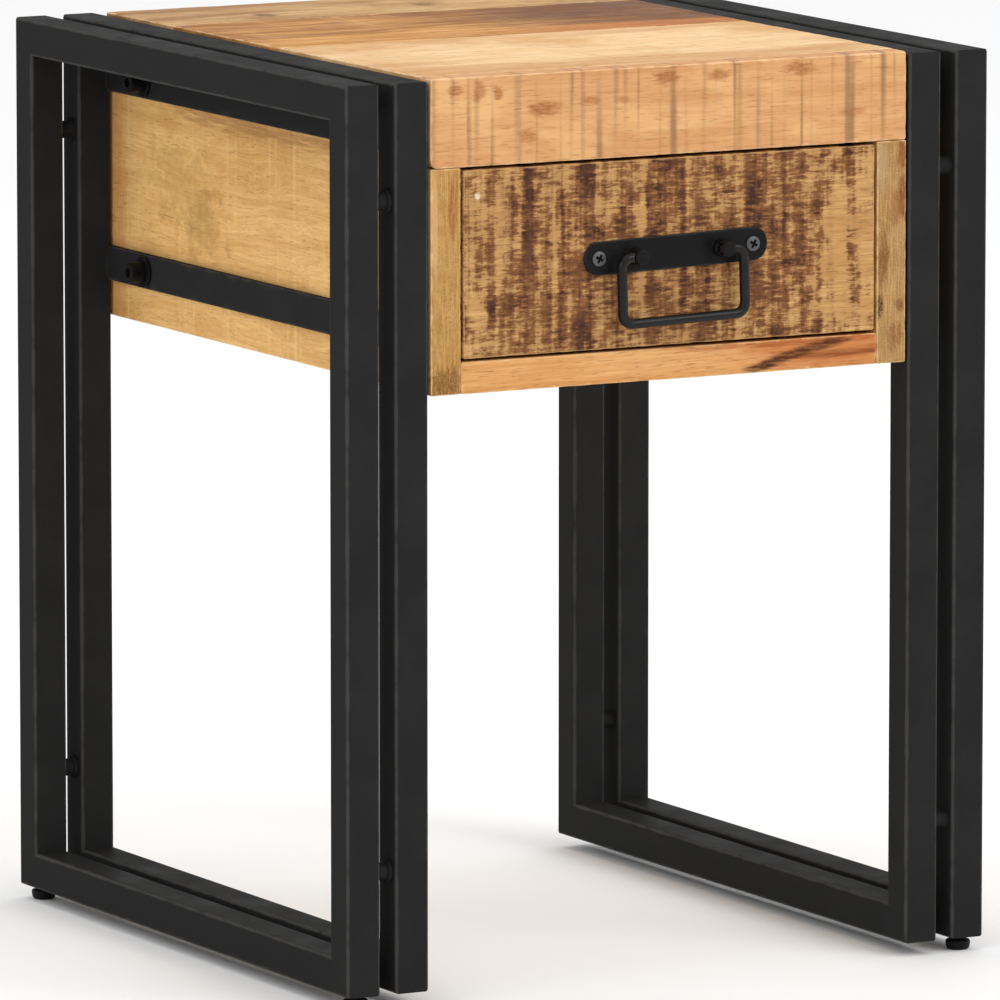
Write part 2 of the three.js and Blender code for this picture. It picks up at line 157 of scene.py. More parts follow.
def new_group(name, inputs, outputs):
    """An empty node group with named sockets; gives the tree, its inputs and its outputs."""
    group = bpy.data.node_groups.new(name, "ShaderNodeTree")
    for label, kind, value in inputs:
        made = group.interface.new_socket(label, in_out="INPUT", socket_type="NodeSocket" + kind)
        made.default_value = value
    for label in outputs:
        group.interface.new_socket(label, in_out="OUTPUT", socket_type="NodeSocketFloat")
    start, end = group.nodes.new("NodeGroupInput"), group.nodes.new("NodeGroupOutput")
    return group, start.outputs, end.inputs


def use_group(tree, group, **sockets):
    """Places a group in a tree; each keyword is the name of an input, in small letters."""
    node = tree.nodes.new("ShaderNodeGroup")
    node.node_tree = group
    for key, value in sockets.items():
        fill(tree, node.inputs[key.capitalize()], value)
    return node.outputs


def new_material(name):
    """A material with an empty tree; gives the material, its tree and its Principled shader."""
    material = bpy.data.materials.new(name)
    material.use_nodes = True
    tree = material.node_tree
    tree.nodes.clear()
    shader = put(tree, "BsdfPrincipled")
    output = put(tree, "OutputMaterial")
    tree.links.new(shader.outputs[0], output.inputs[0])
    return material, tree, shader


print("white is", rgb(255, 255, 255)[:3])

# %% [markdown]
# ## Floor and light
#
# The floor is a plain pale sheet. The light is soft and comes from everywhere, with one broad lamp
# high on the right, a weaker one on the left and one above, so that the front, the side and the top
# of the cabinet each get their own brightness and the black tube still shows its rounded edges.

# %% Floor and light
scene = bpy.context.scene
scene.view_settings.view_transform = "Standard"
floor_mesh = bpy.data.meshes.new("floor")
FLOOR_HALF = 30.0
square = [(x * FLOOR_HALF, y * FLOOR_HALF, 0) for x, y in ((-1, -1), (1, -1), (1, 1), (-1, 1))]
floor_mesh.from_pydata(square, [], [(0, 1, 2, 3)])
floor = bpy.data.objects.new("floor", floor_mesh)
scene.collection.objects.link(floor)
pale, tree, shader = new_material("pale floor")
shader.inputs["Base Color"].default_value = (0.97, 0.97, 0.97, 1)
shader.inputs["Roughness"].default_value = 0.9
shader.inputs["Specular IOR Level"].default_value = 0.0
floor_mesh.materials.append(pale)

world = bpy.data.worlds.new("studio air")
world.use_nodes = True
air = world.node_tree.nodes["Background"].inputs
air["Color"].default_value, air["Strength"].default_value = (1, 1, 1, 1), 0.95
scene.world = world


def softbox(name, spot, target, size, power):
    """A square lamp at spot, turned to face target."""
    data = bpy.data.lights.new(name, "AREA")
    data.shape, data.size, data.energy = "SQUARE", size, power
    lamp = bpy.data.objects.new(name, data)
    lamp.location = spot
    lamp.rotation_mode = "QUATERNION"
    lamp.rotation_quaternion = (Vector(target) - Vector(spot)).to_track_quat("-Z", "Y")
    scene.collection.objects.link(lamp)
    return lamp


CENTRE = (0, 0, 0.3)
softbox("key", (1.6, -3.2, 2.6), CENTRE, 2.2, 40)
softbox("left_fill", (-3.4, -1.0, 1.8), CENTRE, 2.0, 10)
softbox("top", (0.2, 0.6, 3.4), CENTRE, 2.4, 15)

# %% [markdown]
# ## Surfaces from arrays
#
# Two kinds of surface make the whole table. A skin is a stack of rings, each ring the same number of
# points, joined ring to ring: tubes, turned pegs, screws and the pull are skins. A block is a box whose
# six sides are grids fine enough to be planed, sawn and rounded by moving the points: every board is a
# block. make_piece() puts either into a mesh, turns it outwards if its volume came out negative, and
# tells the frame where it belongs.

# %% Mesh helpers
def volume(points, faces):
    """Six times the volume: for each triangle of each face, the box product of its three corners."""
    total = 0.0
    for group in faces:
        for k in range(1, group.shape[1] - 1):
            a, b, c = (points[group[:, i]] for i in (0, k, k + 1))
            total += float(np.einsum("ij,ij->i", a, np.cross(b, c)).sum())
    return total


def make_piece(name, points, faces, material, body, slot=None, nodes=(), **masks):
    """A smooth-shaded object from points and arrays of faces; masks become attributes of the points."""
    faces = [group for group in faces if len(group)]
    if volume(points, faces) < 0:
        faces = [group[:, ::-1] for group in faces]
    mesh = bpy.data.meshes.new(name)
    sizes = np.concatenate([np.full(len(group), group.shape[1]) for group in faces])
    corners = np.concatenate([group.ravel() for group in faces]).astype(np.int32)
    mesh.vertices.add(len(points))
    mesh.vertices.foreach_set("co", np.asarray(points, np.float32).ravel())
    mesh.loops.add(len(corners))
    mesh.loops.foreach_set("vertex_index", corners)
    mesh.polygons.add(len(sizes))
    mesh.polygons.foreach_set("loop_start", np.concatenate([[0], np.cumsum(sizes)[:-1]]).astype(np.int32))
    mesh.update(calc_edges=True)
    mesh.polygons.foreach_set("use_smooth", np.ones(len(sizes), bool))
    for label, values in masks.items():
        made = mesh.attributes.new(label, "FLOAT", "POINT")
        made.data.foreach_set("value", np.asarray(values, np.float32))
    mesh.materials.append(material)
    piece = bpy.data.objects.new(name, mesh)
    scene.collection.objects.link(piece)
    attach(piece, body)
    if nodes:
        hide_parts(*nodes)
    return piece


def skin(rings, looped=False):
    """Points and faces of stacked rings, an array of (ring, point, xyz). A looped stack joins its last
    ring to its first; otherwise the first and last rings shrink to one point each and close it."""
    count, around = rings.shape[:2]
    column = np.arange(around)
    after = (column + 1) % around
    if looped:
        points = rings.reshape(-1, 3)
        row = np.arange(count)[:, None]
        below, above = row * around, (row + 1) % count * around
    else:
        ends = rings[[0, -1]].mean(1)
        points = np.concatenate([rings[1:-1].reshape(-1, 3), ends])
        below = np.arange(count - 3)[:, None] * around
        above = below + around
    quads = np.stack([below + column, below + after, above + after, above + column], -1).reshape(-1, 4)
    if looped:
        return points, [quads]
    last_row = (count - 3) * around
    first = np.stack([after, column, np.full(around, len(points) - 2)], -1)
    last = np.stack([last_row + column, last_row + after, np.full(around, len(points) - 1)], -1)
    return points, [quads, np.concatenate([first, last])]


def block_grid(low, high, step, rim, extra=((), (), ())):
    """The six sides of a box as grids that share their edge points. Lines are step apart, and closer
    within rim of an edge, where the rounding bends them. Gives lattice points and four-cornered faces."""
    ticks = []
    for axis in range(3):
        inner = high[axis] - low[axis] - 2 * rim
        count = max(1, int(round(inner / step[axis])))
        near = rim * np.array([0, 0.3, 0.62, 1.0])
        middle = low[axis] + rim + inner * np.arange(1, count) / count
        line = np.concatenate([low[axis] + near, middle, high[axis] - near[::-1], extra[axis]])
        ticks.append(np.unique(np.round(line, 7)))
    corner_sets, face_sets, start = [], [], 0
    for axis in range(3):
        u, v = (axis + 1) % 3, (axis + 2) % 3
        i, j = np.meshgrid(np.arange(len(ticks[u])), np.arange(len(ticks[v])), indexing="ij")
        for side, level in ((-1, 0), (1, len(ticks[axis]) - 1)):
            triple = np.zeros((*i.shape, 3), int)
            triple[..., axis], triple[..., u], triple[..., v] = level, i, j
            index = start + np.arange(i.size).reshape(i.shape)
            quad = np.stack([index[:-1, :-1], index[1:, :-1], index[1:, 1:], index[:-1, 1:]], -1)
            face_sets.append(quad.reshape(-1, 4)[:, ::side])
            corner_sets.append(triple.reshape(-1, 3))
            start += i.size
    triples, which = np.unique(np.concatenate(corner_sets), axis=0, return_inverse=True)
    points = np.stack([ticks[axis][triples[:, axis]] for axis in range(3)], -1)
    return points, which.reshape(-1)[np.concatenate(face_sets)]


def rounded(points, low, high, radius):
    """Rounds a box: each point is pulled to the ball of that radius round its nearest inner point.
    Gives the new points, their outward directions, and how near an edge each one is, 0 to 1."""
    inner = np.clip(points, low + radius, high - radius)
    out = points - inner
    out /= np.linalg.norm(out, axis=1, keepdims=True)
    gaps = np.sort(np.minimum(points - low, high - points), axis=1)
    return inner + out * radius, out, np.exp(-gaps[:, 1] / (1.6 * MM))


def wobble(points, length, seed, waves=9):
    """Smooth unevenness of about -1 to 1: the sum of sine waves of random direction and start, each
    about length long. length may be three numbers, one for each axis."""
    rng = np.random.default_rng(seed)
    way = rng.normal(size=(waves, 3))
    way /= np.linalg.norm(way, axis=1, keepdims=True)
    turns = (points / length) @ (way * rng.uniform(0.6, 1.6, (waves, 1))).T
    return np.sin(2 * np.pi * (turns + rng.uniform(0, 1, waves))).sum(1) * math.sqrt(2 / waves) / 1.6


print("helpers ready")

# %% [markdown]
# ## Black powder coat
#
# The tube is coated with baked powder: a black with a faint orange-peel skin, matt rather than glossy,
# a little greyer along the edges, partly where it has been rubbed and partly as a painted highlight,
# and where dust settles. The peel, the dust and a painted shade in hollows, near black and read from
# a mask on the points, are one group, because the tube, the bars and the pull all show them in
# different amounts. The lighter edge, partly wear and partly a painted highlight, is another, because
# wood and steel both have it: it reads the mask "arris" that the shapes carry, and breaks it up with
# noise so that it isn't a drawn line.

# %% Groups for coat, painted shade, and worn edges with a painted highlight
coat_group, given, gives = new_group(
    "coat skin", [("Vector", "Vector", (0, 0, 0)), ("Dust", "Float", 0.5)],
    ["Height", "Sheen", "Dust", "Recess_shade"])
peel = noise(coat_group, given["Vector"], (900, 900, 900), 2.0)
drift = noise(coat_group, given["Vector"], (26, 26, 26), 4.0, 0.6)
specks = noise(coat_group, given["Vector"], (420, 420, 420), 1.0)
coat_group.links.new(peel, gives["Height"])
coat_group.links.new(step_up(coat_group, drift, 0.3, 0.7), gives["Sheen"])
settled = times(coat_group, step_up(coat_group, drift, 0.42, 0.75),
                step_up(coat_group, specks, 0.45, 0.8))
coat_group.links.new(times(coat_group, settled, given["Dust"]), gives["Dust"])
# The fourth output is a mask on the points, high in hollows, where the coat is painted near black as shade.
coat_group.links.new(put(coat_group, "Attribute", attribute_name="grime").outputs["Fac"], gives["Recess_shade"])

wear_and_highlight_group, given, gives = new_group(
    "worn edge and painted highlight", [("Vector", "Vector", (0, 0, 0)), ("Amount", "Float", 1.0), ("Scale", "Float", 90.0)],
    ["Mask"])
arris = put(wear_and_highlight_group, "Attribute", attribute_name="arris").outputs["Fac"]
finer = vector_maths(wear_and_highlight_group, "SCALE", given["Vector"], given["Scale"])
patch = noise(wear_and_highlight_group, finer, (1, 1, 1), 3.0, 0.6)
reach_in = maths(wear_and_highlight_group, "ADD", arris, maths(wear_and_highlight_group, "MULTIPLY_ADD", patch, 1.2, -0.6))
wear_and_highlight_group.links.new(times(wear_and_highlight_group, step_up(wear_and_highlight_group, reach_in, 0.45, 1.0),
                           given["Amount"]), gives["Mask"])


# The first colour is settled dust; the second is the near black painted as shade in hollows.
DUST, RECESS_SHADE = rgb(150, 146, 138), rgb(14, 13, 12)
PEEL_DEPTH = 0.2 * MM


def coated(name, colour, worn, wear_and_highlight, roughness, peel, dust, gloss=0.22, metallic=0.0):
    """A coated metal: colour, its lighter edge colour and share (partly wear, partly a painted highlight),
    lowest and highest roughness, how strong the orange peel is, how dusty it is, how much it mirrors, and
    how metallic it is."""
    material, tree, shader = new_material(name)
    place = put(tree, "TexCoord").outputs["Object"]
    coat = use_group(tree, coat_group, vector=place, dust=dust)
    edge = use_group(tree, wear_and_highlight_group, vector=place, amount=wear_and_highlight, scale=70.0)["Mask"]
    lighter = (*(1.5 * c for c in colour[:3]), 1)
    ground = tint(tree, times(tree, coat["Sheen"], 0.35), colour, lighter)
    dusty = tint(tree, coat["Dust"], ground, DUST)
    # The edges are lighter in the worn colour: partly real wear, partly a painted highlight.
    rubbed = tint(tree, edge, dusty, worn)
    # Painted shade: near black laid over the colour where the hollow mask is high.
    tree.links.new(tint(tree, coat["Recess_shade"], rubbed, RECESS_SHADE), shader.inputs["Base Color"])
    shader.inputs["Specular IOR Level"].default_value = gloss
    shader.inputs["Metallic"].default_value = metallic
    rough = maths(tree, "MULTIPLY_ADD", coat["Sheen"], roughness[1] - roughness[0], roughness[0])
    tree.links.new(maths(tree, "SUBTRACT", rough, times(tree, edge, 0.12)),
                   shader.inputs["Roughness"])
    bump = put(tree, "Bump", {"Strength": peel, "Distance": PEEL_DEPTH, "Height": coat["Height"]})
    tree.links.new(bump.outputs[0], shader.inputs["Normal"])
    return material


powder_black = coated("powder black", rgb(38, 38, 38), rgb(88, 87, 84), 0.4, (0.42, 0.58), 0.2, 0.01, 0.008)
pull_black = coated("pull black", rgb(16, 16, 17), rgb(60, 60, 62), 0.4, (0.3, 0.46), 0.5, 0.02, 0.1)
bail_black = coated("bail black", rgb(13, 13, 14), rgb(60, 60, 62), 0.3, (0.14, 0.26), 0.5, 0.01, 0.24)
print("coats", [m.name for m in (powder_black, pull_black, bail_black)])

# %% [markdown]
# ## The four steel loops
#
# Each loop is four lengths of 21 mm square tube, cut at 45 degrees and welded into a standing frame.
# Extruding four boxes would leave hard edges that catch no light, so the tube is carried round the
# loop as one profile: a square with 2 mm corners and an extra point close to each corner, which keeps
# the flats flat when the shading is smooth. At each mitre the profile is pulled in a tenth of a
# millimetre, which is all that is left of a weld after grinding.

# %% Loops
TUBE, TUBE_CORNER = 21 * MM, 2 * MM


def square_profile(half, radius, steps=5):
    """A square with round corners: each corner is a quarter circle of radius about a point that far
    inside the corner, with a support point on the flat at each end of it. Gives points and mask."""
    turn = np.linspace(0, np.pi / 2, steps + 1)
    support = 0.35 * MM
    inside = half - radius
    quarter = inside + radius * np.stack([np.cos(turn), np.sin(turn)], -1)
    quarter = np.concatenate([[[half, inside - support]], quarter, [[inside - support, half]]])
    mask = np.concatenate([[0.15], 0.4 + 0.6 * np.sin(2 * turn), [0.15]])
    spin = np.array([[0, -1], [1, 0]])
    sides = [quarter]
    for _ in range(3):
        sides.append(sides[-1] @ spin.T)
    return np.concatenate(sides), np.tile(mask, 4)


def loop_rings(y_near, y_far, z_low, z_high, x_middle, half, radius):
    """Rings of a tube carried round a rectangle. At a corner a point with outward share a and sideways
    share b stands at corner + a (both outward directions) + b (x); the next rings repeat it further on
    along each leg."""
    profile, mask = square_profile(half, radius)
    corners = np.array([[y_near + half, z_low + half], [y_far - half, z_low + half],
                        [y_far - half, z_high - half], [y_near + half, z_high - half]])
    ways = np.roll(corners, -1, 0) - corners
    ways /= np.linalg.norm(ways, axis=1, keepdims=True)
    outward = np.stack([ways[:, 1], -ways[:, 0]], -1)
    mitre = outward + np.roll(outward, 1, 0)
    steps = np.array([-2.2, -0.5, 0, 0.5, 2.2]) * MM
    sunk = 1 - np.array([0, 0, 0.012, 0, 0])
    travel = np.where(steps[:, None] < 0, np.roll(ways, 1, 0)[:, None], ways[:, None])
    centres = corners[:, None] + travel * np.abs(steps)[:, None] * np.sign(steps)[:, None]
    flat = centres[:, :, None] + (profile[:, 0] * sunk[:, None])[None, :, :, None] * mitre[:, None, None]
    across = x_middle + np.broadcast_to(profile[:, 1] * sunk[:, None], flat.shape[:3])
    rings = np.concatenate([across[..., None], flat], -1).reshape(-1, len(profile), 3)
    return rings, np.tile(mask, len(rings))


for side, sign in SIDES:
    for which in ("outer", "inner"):
        tubes = [f"{side}_{which}_{part}" for part in ("front_leg", "back_leg", "top_rail", "bottom_rail")]
        low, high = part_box(tubes[0])
        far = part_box(tubes[1])[1]
        rings, mask = loop_rings(low.y, far.y, low.z, high.z, (low.x + high.x) / 2, TUBE / 2, TUBE_CORNER)
        points, faces = skin(rings, looped=True)
        loop = make_piece(f"{side}_{which}_loop", points, faces, powder_black, "frame", "frame_steel",
                          tubes, arris=mask)
        print(loop.name, len(points), "points")

# %% [markdown]
# ## Bars, spacers and their welds
#
# A flat bar runs along the inside of each pair of loops, low and high, and carries the cabinet. It is
# thin, so a rounded block is enough. Its ends butt against the legs and are held by a short weld: a
# bead is a stack of rings whose radius ripples, one ripple for each drop of metal.

# %% Bars and beads
def bead(name, start, end, radius, seed):
    """A weld bead: circles along a straight line, radius times 1 + 0.12 sin of the ripple and smooth
    noise, shrinking as a half circle at both ends."""
    start, end = np.array(start), np.array(end)
    share = np.linspace(0, 1, 40)
    along = end - start
    length = np.linalg.norm(along)
    ripple = 1 + 0.12 * np.sin(2 * np.pi * share * length / (2.1 * MM)) \
        + 0.08 * wobble(share[:, None] * np.ones(3), 0.3, seed)
    ends = np.sqrt(np.clip(1 - np.clip((np.abs(share - 0.5) * 2 - 0.86) / 0.14, 0, 1) ** 2, 0, 1))
    angle = np.linspace(0, 2 * np.pi, 16, endpoint=False)
    ring = np.stack([np.cos(angle), np.sin(angle), 0 * angle], -1)
    rings = start + share[:, None, None] * along + (radius * ripple * ends)[:, None, None] * ring
    points, faces = skin(rings)
    return make_piece(name, points, faces, powder_black, "frame", "frame_steel",
                      arris=np.full(len(points), 0.35))


def block(name, node, step, radius, material, body, slot, relief=None, shape=None, rim=None, extra=None,
          **masks_from):
    """A rounded block in the place of a CAD node. shape moves the points after rounding, relief says
    how far the surface lies below the true face, and each of masks_from makes a mask of the points."""
    low, high = (np.array(corner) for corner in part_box(node))
    rim = rim or 1.4 * radius
    points, quads = block_grid(low, high, np.broadcast_to(step, 3), rim, extra or ((), (), ()))
    points, out, near = rounded(points, low, high, radius)
    masks = {label: make(points) for label, make in masks_from.items()}
    if relief is not None:
        points = points - out * relief(points, out, near)[:, None]
    if shape is not None:
        points = shape(points, low, high)
    return make_piece(name, points, [quads], material, body, slot, [node], arris=near, **masks)


for side, sign in SIDES:
    for level in ("lower", "upper"):
        node = f"{side}_{level}_bar"
        low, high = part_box(node)
        bar = block(f"{side}_{level}_flat", node, 9 * MM, 0.7 * MM, powder_black, "frame", "frame_steel",
                    rim=1.1 * MM)
        face = high.x if sign > 0 else low.x
        for end, y in (("front", low.y), ("back", high.y)):
            bead(f"{side}_{level}_{end}_bead", (face, y, low.z + 1.5 * MM), (face, y, high.z - 1.5 * MM),
                 1.3 * MM, seed=len(side) + len(end) + len(level))
        print(bar.name, "with two beads")

# %% [markdown]
# ## Turned pieces
#
# Spacer pegs, bolts, washers, threaded inserts, glides and screws are all turned on a lathe, so one
# function makes them: a list of (radius, height) points is turned round an axis. A second function of
# the angle may stretch some rows, which turns a round hole into the six-sided socket of a bolt or cuts
# knurls into its rim, and a third may sink the surface, which makes a cross recess.

# %% Lathe
def rounded_line(corners, radii, steps=4):
    """A line through corners (radius, height) with each inner corner replaced by a curve: the point at
    share t is (1-t)^2 of the point before, 2t(1-t) of the corner and t^2 of the point after."""
    corners = np.array(corners, float)
    out = [corners[:1]]
    t = np.linspace(0, 1, steps + 1)[:, None]
    for before, corner, after, radius in zip(corners, corners[1:], corners[2:], radii):
        to_before, to_after = before - corner, after - corner
        reach = min(radius, 0.49 * np.linalg.norm(to_before), 0.49 * np.linalg.norm(to_after))
        a = corner + to_before / np.linalg.norm(to_before) * reach
        b = corner + to_after / np.linalg.norm(to_after) * reach
        out.append((1 - t) ** 2 * a + 2 * t * (1 - t) * corner + t**2 * b)
    return np.concatenate(out + [corners[-1:]])


def turned(line, centre, axis, sides=48, stretch=None, sink=None):
    """Rings of a lathe shape: at height h the ring has radius r times stretch(angle, row), and its
    height is lowered by sink(radius, angle). axis is the direction that height grows in."""
    axis = np.array(axis, float)
    first = np.cross(axis, [0, 0, 1.0]) if abs(axis[2]) < 0.5 else np.array([1.0, 0, 0])
    second = np.cross(axis, first)
    angle = np.linspace(0, 2 * np.pi, sides, endpoint=False)
    radius = line[:, :1] * np.ones(sides)
    if stretch is not None:
        radius = radius * stretch(angle, np.arange(len(line))[:, None])
    height = line[:, 1:] * np.ones(sides)
    if sink is not None:
        height = height - sink(radius, angle)
    return (np.array(centre, float) + radius[..., None] * (np.cos(angle)[:, None] * first
            + np.sin(angle)[:, None] * second) + height[..., None] * axis)


def hexagon(angle):
    """Distance to the side of a hexagon whose corners are at 1: cos 30 over cos of the angle from the
    middle of its side."""
    return math.cos(math.pi / 6) / np.cos(np.mod(angle, math.pi / 3) - math.pi / 6)


def row_mask(line, sides, bright):
    """A mask for a turned piece, high where the line bends: four times one less the cosine of the turn
    at each row, no more than 1, times bright. The two end points get 0."""
    way = np.diff(line, axis=0)
    way /= np.maximum(np.linalg.norm(way, axis=1, keepdims=True), 1e-12)
    bend = 1 - (way[1:] * way[:-1]).sum(1)
    return np.concatenate([np.repeat(np.clip(bend * 4, 0, 1), sides), [0, 0]]) * bright


def lathe(name, line, centre, axis, sides, bright, material, slot, nodes=(), body="frame", stretch=None):
    """A turned piece, lighter along its edges by the share bright: partly wear, partly a painted highlight.
    """
    points, faces = skin(turned(line, centre, axis, sides, stretch))
    return make_piece(name, points, faces, material, body, slot, nodes,
                      arris=row_mask(line, sides, bright))


print("lathe ready")

# %% [markdown]
# ## Spacer pegs
#
# The two loops of a pair are kept apart by four short pegs, welded on. A peg is a plain rod with a
# collar where it meets the inner loop, and a fillet where it meets the outer one.

# %% Pegs
PEG, COLLAR, COLLAR_TALL = 5 * MM, 6.75 * MM, 2 * MM


def peg(place, sign):
    """The spacer of a place, turned outwards from the inner loop."""
    low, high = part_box(place + "_peg")
    middle = (low + high) / 2
    start = high.x if sign < 0 else low.x
    long = high.x - low.x
    line = rounded_line([(0, 0), (COLLAR, 0), (COLLAR, COLLAR_TALL), (PEG, COLLAR_TALL + 0.6 * MM),
                         (PEG, long - 1.6 * MM), (PEG + 1.1 * MM, long), (0, long)],
                        np.array([0.4, 0.5, 0.4, 1.2, 0.3]) * MM)
    lathe(place + "_spacer", line, (start, middle.y, middle.z), (sign, 0, 0), 40, 1.0, powder_black,
          "frame_steel", [place + "_peg"])


print("peg", PEG / MM, "mm in radius, collar", COLLAR / MM)

# %% [markdown]
# ## Bolts, washers and inserts
#
# The cabinet is bolted through the flat bars with socket-head screws over a washer, which pull on
# threaded inserts in the wood. The head is a turned line: the rows of its hole are stretched into a
# hexagon for the key, and the rows of its rim get shallow knurls. The insert's thread is drawn as
# rings whose radius goes up and down once in each millimetre.

# %% Bolts, washers and inserts
bolt_black = coated("bolt black", rgb(17, 17, 18), rgb(120, 118, 115), 0.6, (0.3, 0.44), 0.2, 0.01, 0.05)
zinc = coated("zinc", rgb(150, 150, 148), rgb(205, 205, 205), 0.6, (0.3, 0.5), 0.2, 0.05, metallic=0.9)
WASHER, WASHER_THICK = 9 * MM, 1.9 * MM
SHANK, SHANK_LONG, HEAD, SOCKET_DEEP = 3 * MM, 20 * MM, 6 * MM, 5 * MM
INSERT, INSERT_BORE, INSERT_LONG, PITCH = 4.7 * MM, 3.4 * MM, 12.6 * MM, 1.0 * MM


def washer_and_bolt(side, level, place, outer, sign):
    """The washer lies on the bar's outer face, and the bolt's head on the washer. Gives the middle of
    the bolt, for the insert."""
    low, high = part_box(place + "_bolt")
    middle = (low + high) / 2
    bar_x = abs(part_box(f"{side}_{level}_bar")[outer].x)
    line = rounded_line([(0, 0), (WASHER, 0), (WASHER, WASHER_THICK), (0, WASHER_THICK)],
                        np.array([0.5, 0.6]) * MM)
    lathe(place + "_washer", line, (sign * bar_x, middle.y, middle.z), (sign, 0, 0), 48, 0.7, bolt_black,
          "black_hardware")
    head = bar_x + WASHER_THICK
    top = max(abs(low.x), abs(high.x)) - head
    line = rounded_line([(0, -SHANK_LONG), (SHANK, -SHANK_LONG), (SHANK, 0), (HEAD, 0), (HEAD, top),
                         (SHANK + 0.05 * MM, top), (SHANK, top - SOCKET_DEEP),
                         (0, top - SOCKET_DEEP - 0.6 * MM)],
                        np.array([0.8, 0.1, 0.3, 1.3, 0.25, 0.2]) * MM)
    socket = (np.hypot(*(line - [SHANK, top]).T) < 1.0 * MM) & (line[:, 1] < top + 1e-9)
    socket |= (line[:, 1] > 0) & (line[:, 0] < SHANK + 0.3 * MM)
    rim = (line[:, 0] > HEAD - 0.1 * MM) & (line[:, 1] > 1 * MM) & (line[:, 1] < top - 1.4 * MM)

    def stretch(angle, row):
        """The hexagon's radius in the socket's rows, and 36 small knurls round the rim's rows."""
        six = np.where(socket[row], hexagon(angle), 1.0)
        return six * np.where(rim[row], 1 - 0.012 * np.abs(np.sin(18 * angle)), 1.0)

    lathe(place + "_screw", line, (sign * head, middle.y, middle.z), (sign, 0, 0), 72, 1.0, bolt_black,
          "black_hardware", [place + "_bolt"], stretch=stretch)
    return middle


def insert(side, place, outer, sign, middle):
    """A threaded insert in line with the bolt, from 13 mm deep in the side panel up to its face."""
    depth = np.linspace(0, INSERT_LONG, 80)
    thread = INSERT + 0.3 * MM * np.cos(2 * np.pi * depth / PITCH)
    line = np.concatenate([[(0, 0)], np.stack([thread, depth], -1), [(INSERT_BORE, INSERT_LONG)],
                           [(INSERT_BORE - 0.1 * MM, 1 * MM)], [(0, 1 * MM)]])
    deep_x = sign * (abs(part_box(f"{side}_side_panel")[outer].x) - 13 * MM)
    lathe(place + "_insert", line, (deep_x, middle.y, middle.z), (sign, 0, 0), 36, 0.4, zinc, "screw_steel")


print("finishes", bolt_black.name, "and", zinc.name)

# %% [markdown]
# ## Glides
#
# Under each outer corner a black plastic glide keeps the steel off the floor: a foot with a soft edge,
# a round body that is widest a little above its middle, a neck, and a stem pushed into the tube.

# %% Glides, and a place for every fastener
moulded_black = coated("moulded black", rgb(20, 20, 21), rgb(60, 60, 60), 0.25, (0.45, 0.6), 0.35, 0.06,
                       0.1)


def glide(side, end):
    """A glide in the place of its CAD node: its outline from the floor up, turned round a plumb line."""
    node = f"{side}_{end}_glide"
    low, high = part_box(node)
    middle = (low + high) / 2
    line = np.array([(0, 0), (5.6, 0), (6.7, 1.3), (7.2, 4.5), (6.7, 5.6), (4.6, 6.1), (4.5, 8),
                     (2.5, 8.4), (2.5, 20), (0, 20)]) * MM
    line = rounded_line(line, np.array([0.9, 1.1, 1.0, 0.6, 0.5, 0.3, 0.3, 0.3, 0.8]) * MM, 5)
    lathe(f"{side}_{end}_foot", line, (middle.x, middle.y, low.z), (0, 0, 1), 48, 0.3, moulded_black,
          "glide_plastic", [node])


for side, sign in SIDES:
    outer = 1 if sign > 0 else 0
    for end in ("front", "back"):
        for level in ("lower", "upper"):
            place = f"{side}_{end}_{level}"
            peg(place, sign)
            middle = washer_and_bolt(side, level, place, outer, sign)
            insert(side, place, outer, sign, middle)
        glide(side, end)

# %% [markdown]
# ## Sawn wood
#
# The wood is taken to be mango or one much like it, pale and changeable: cream, gold, grey and brown
# can sit in one board. Here it was cut with a coarse saw and only lightly planed, so the faces keep
# darker lines across the grain where the teeth bit, and stains run along the fibres. Five groups make
# all of that: the grain itself (broad bands, fine fibres, short pores), the saw marks, the stained
# fibres, soft blotches, and a single soft spot that can be put anywhere for a knot or a streak of
# resin. In each of them x runs along the grain.

# %% Wood groups
grain_group, given, gives = new_group(
    "grain", [("Vector", "Vector", (0, 0, 0)), ("Waviness", "Float", 0.006)], ["Bands", "Fibre", "Pores"])
cloud = noise(grain_group, given["Vector"], (7, 22, 22), output="Color")
offset = vector_maths(grain_group, "SUBTRACT", cloud, (0.5, 0.5, 0.5))
offset = vector_maths(grain_group, "SCALE", offset, given["Waviness"])
wavy = vector_maths(grain_group, "ADD", given["Vector"], offset)
bands = noise(grain_group, wavy, (5, 95, 95), 4.0, 0.6)
fibre = noise(grain_group, wavy, (28, 900, 900), 2.0, 0.6)
pores = noise(grain_group, wavy, (110, 1500, 1500), 1.0)
grain_group.links.new(step_up(grain_group, bands, 0.36, 0.66), gives["Bands"])
grain_group.links.new(step_up(grain_group, fibre, 0.32, 0.70), gives["Fibre"])
grain_group.links.new(step_up(grain_group, pores, 0.6, 0.74), gives["Pores"])

saw_group, given, gives = new_group(
    "saw marks", [("Vector", "Vector", (0, 0, 0)), ("Ragged", "Float", 0.6)], ["Marks"])
cut = put(saw_group, "Attribute", attribute_name="saw").outputs["Fac"]
frayed = noise(saw_group, given["Vector"], (130, 420, 420), 3.0, 0.65)
frayed = times(saw_group, maths(saw_group, "SUBTRACT", frayed, 0.5), given["Ragged"])
saw_group.links.new(step_up(saw_group, maths(saw_group, "ADD", cut, frayed), 0.06, 0.95), gives["Marks"])

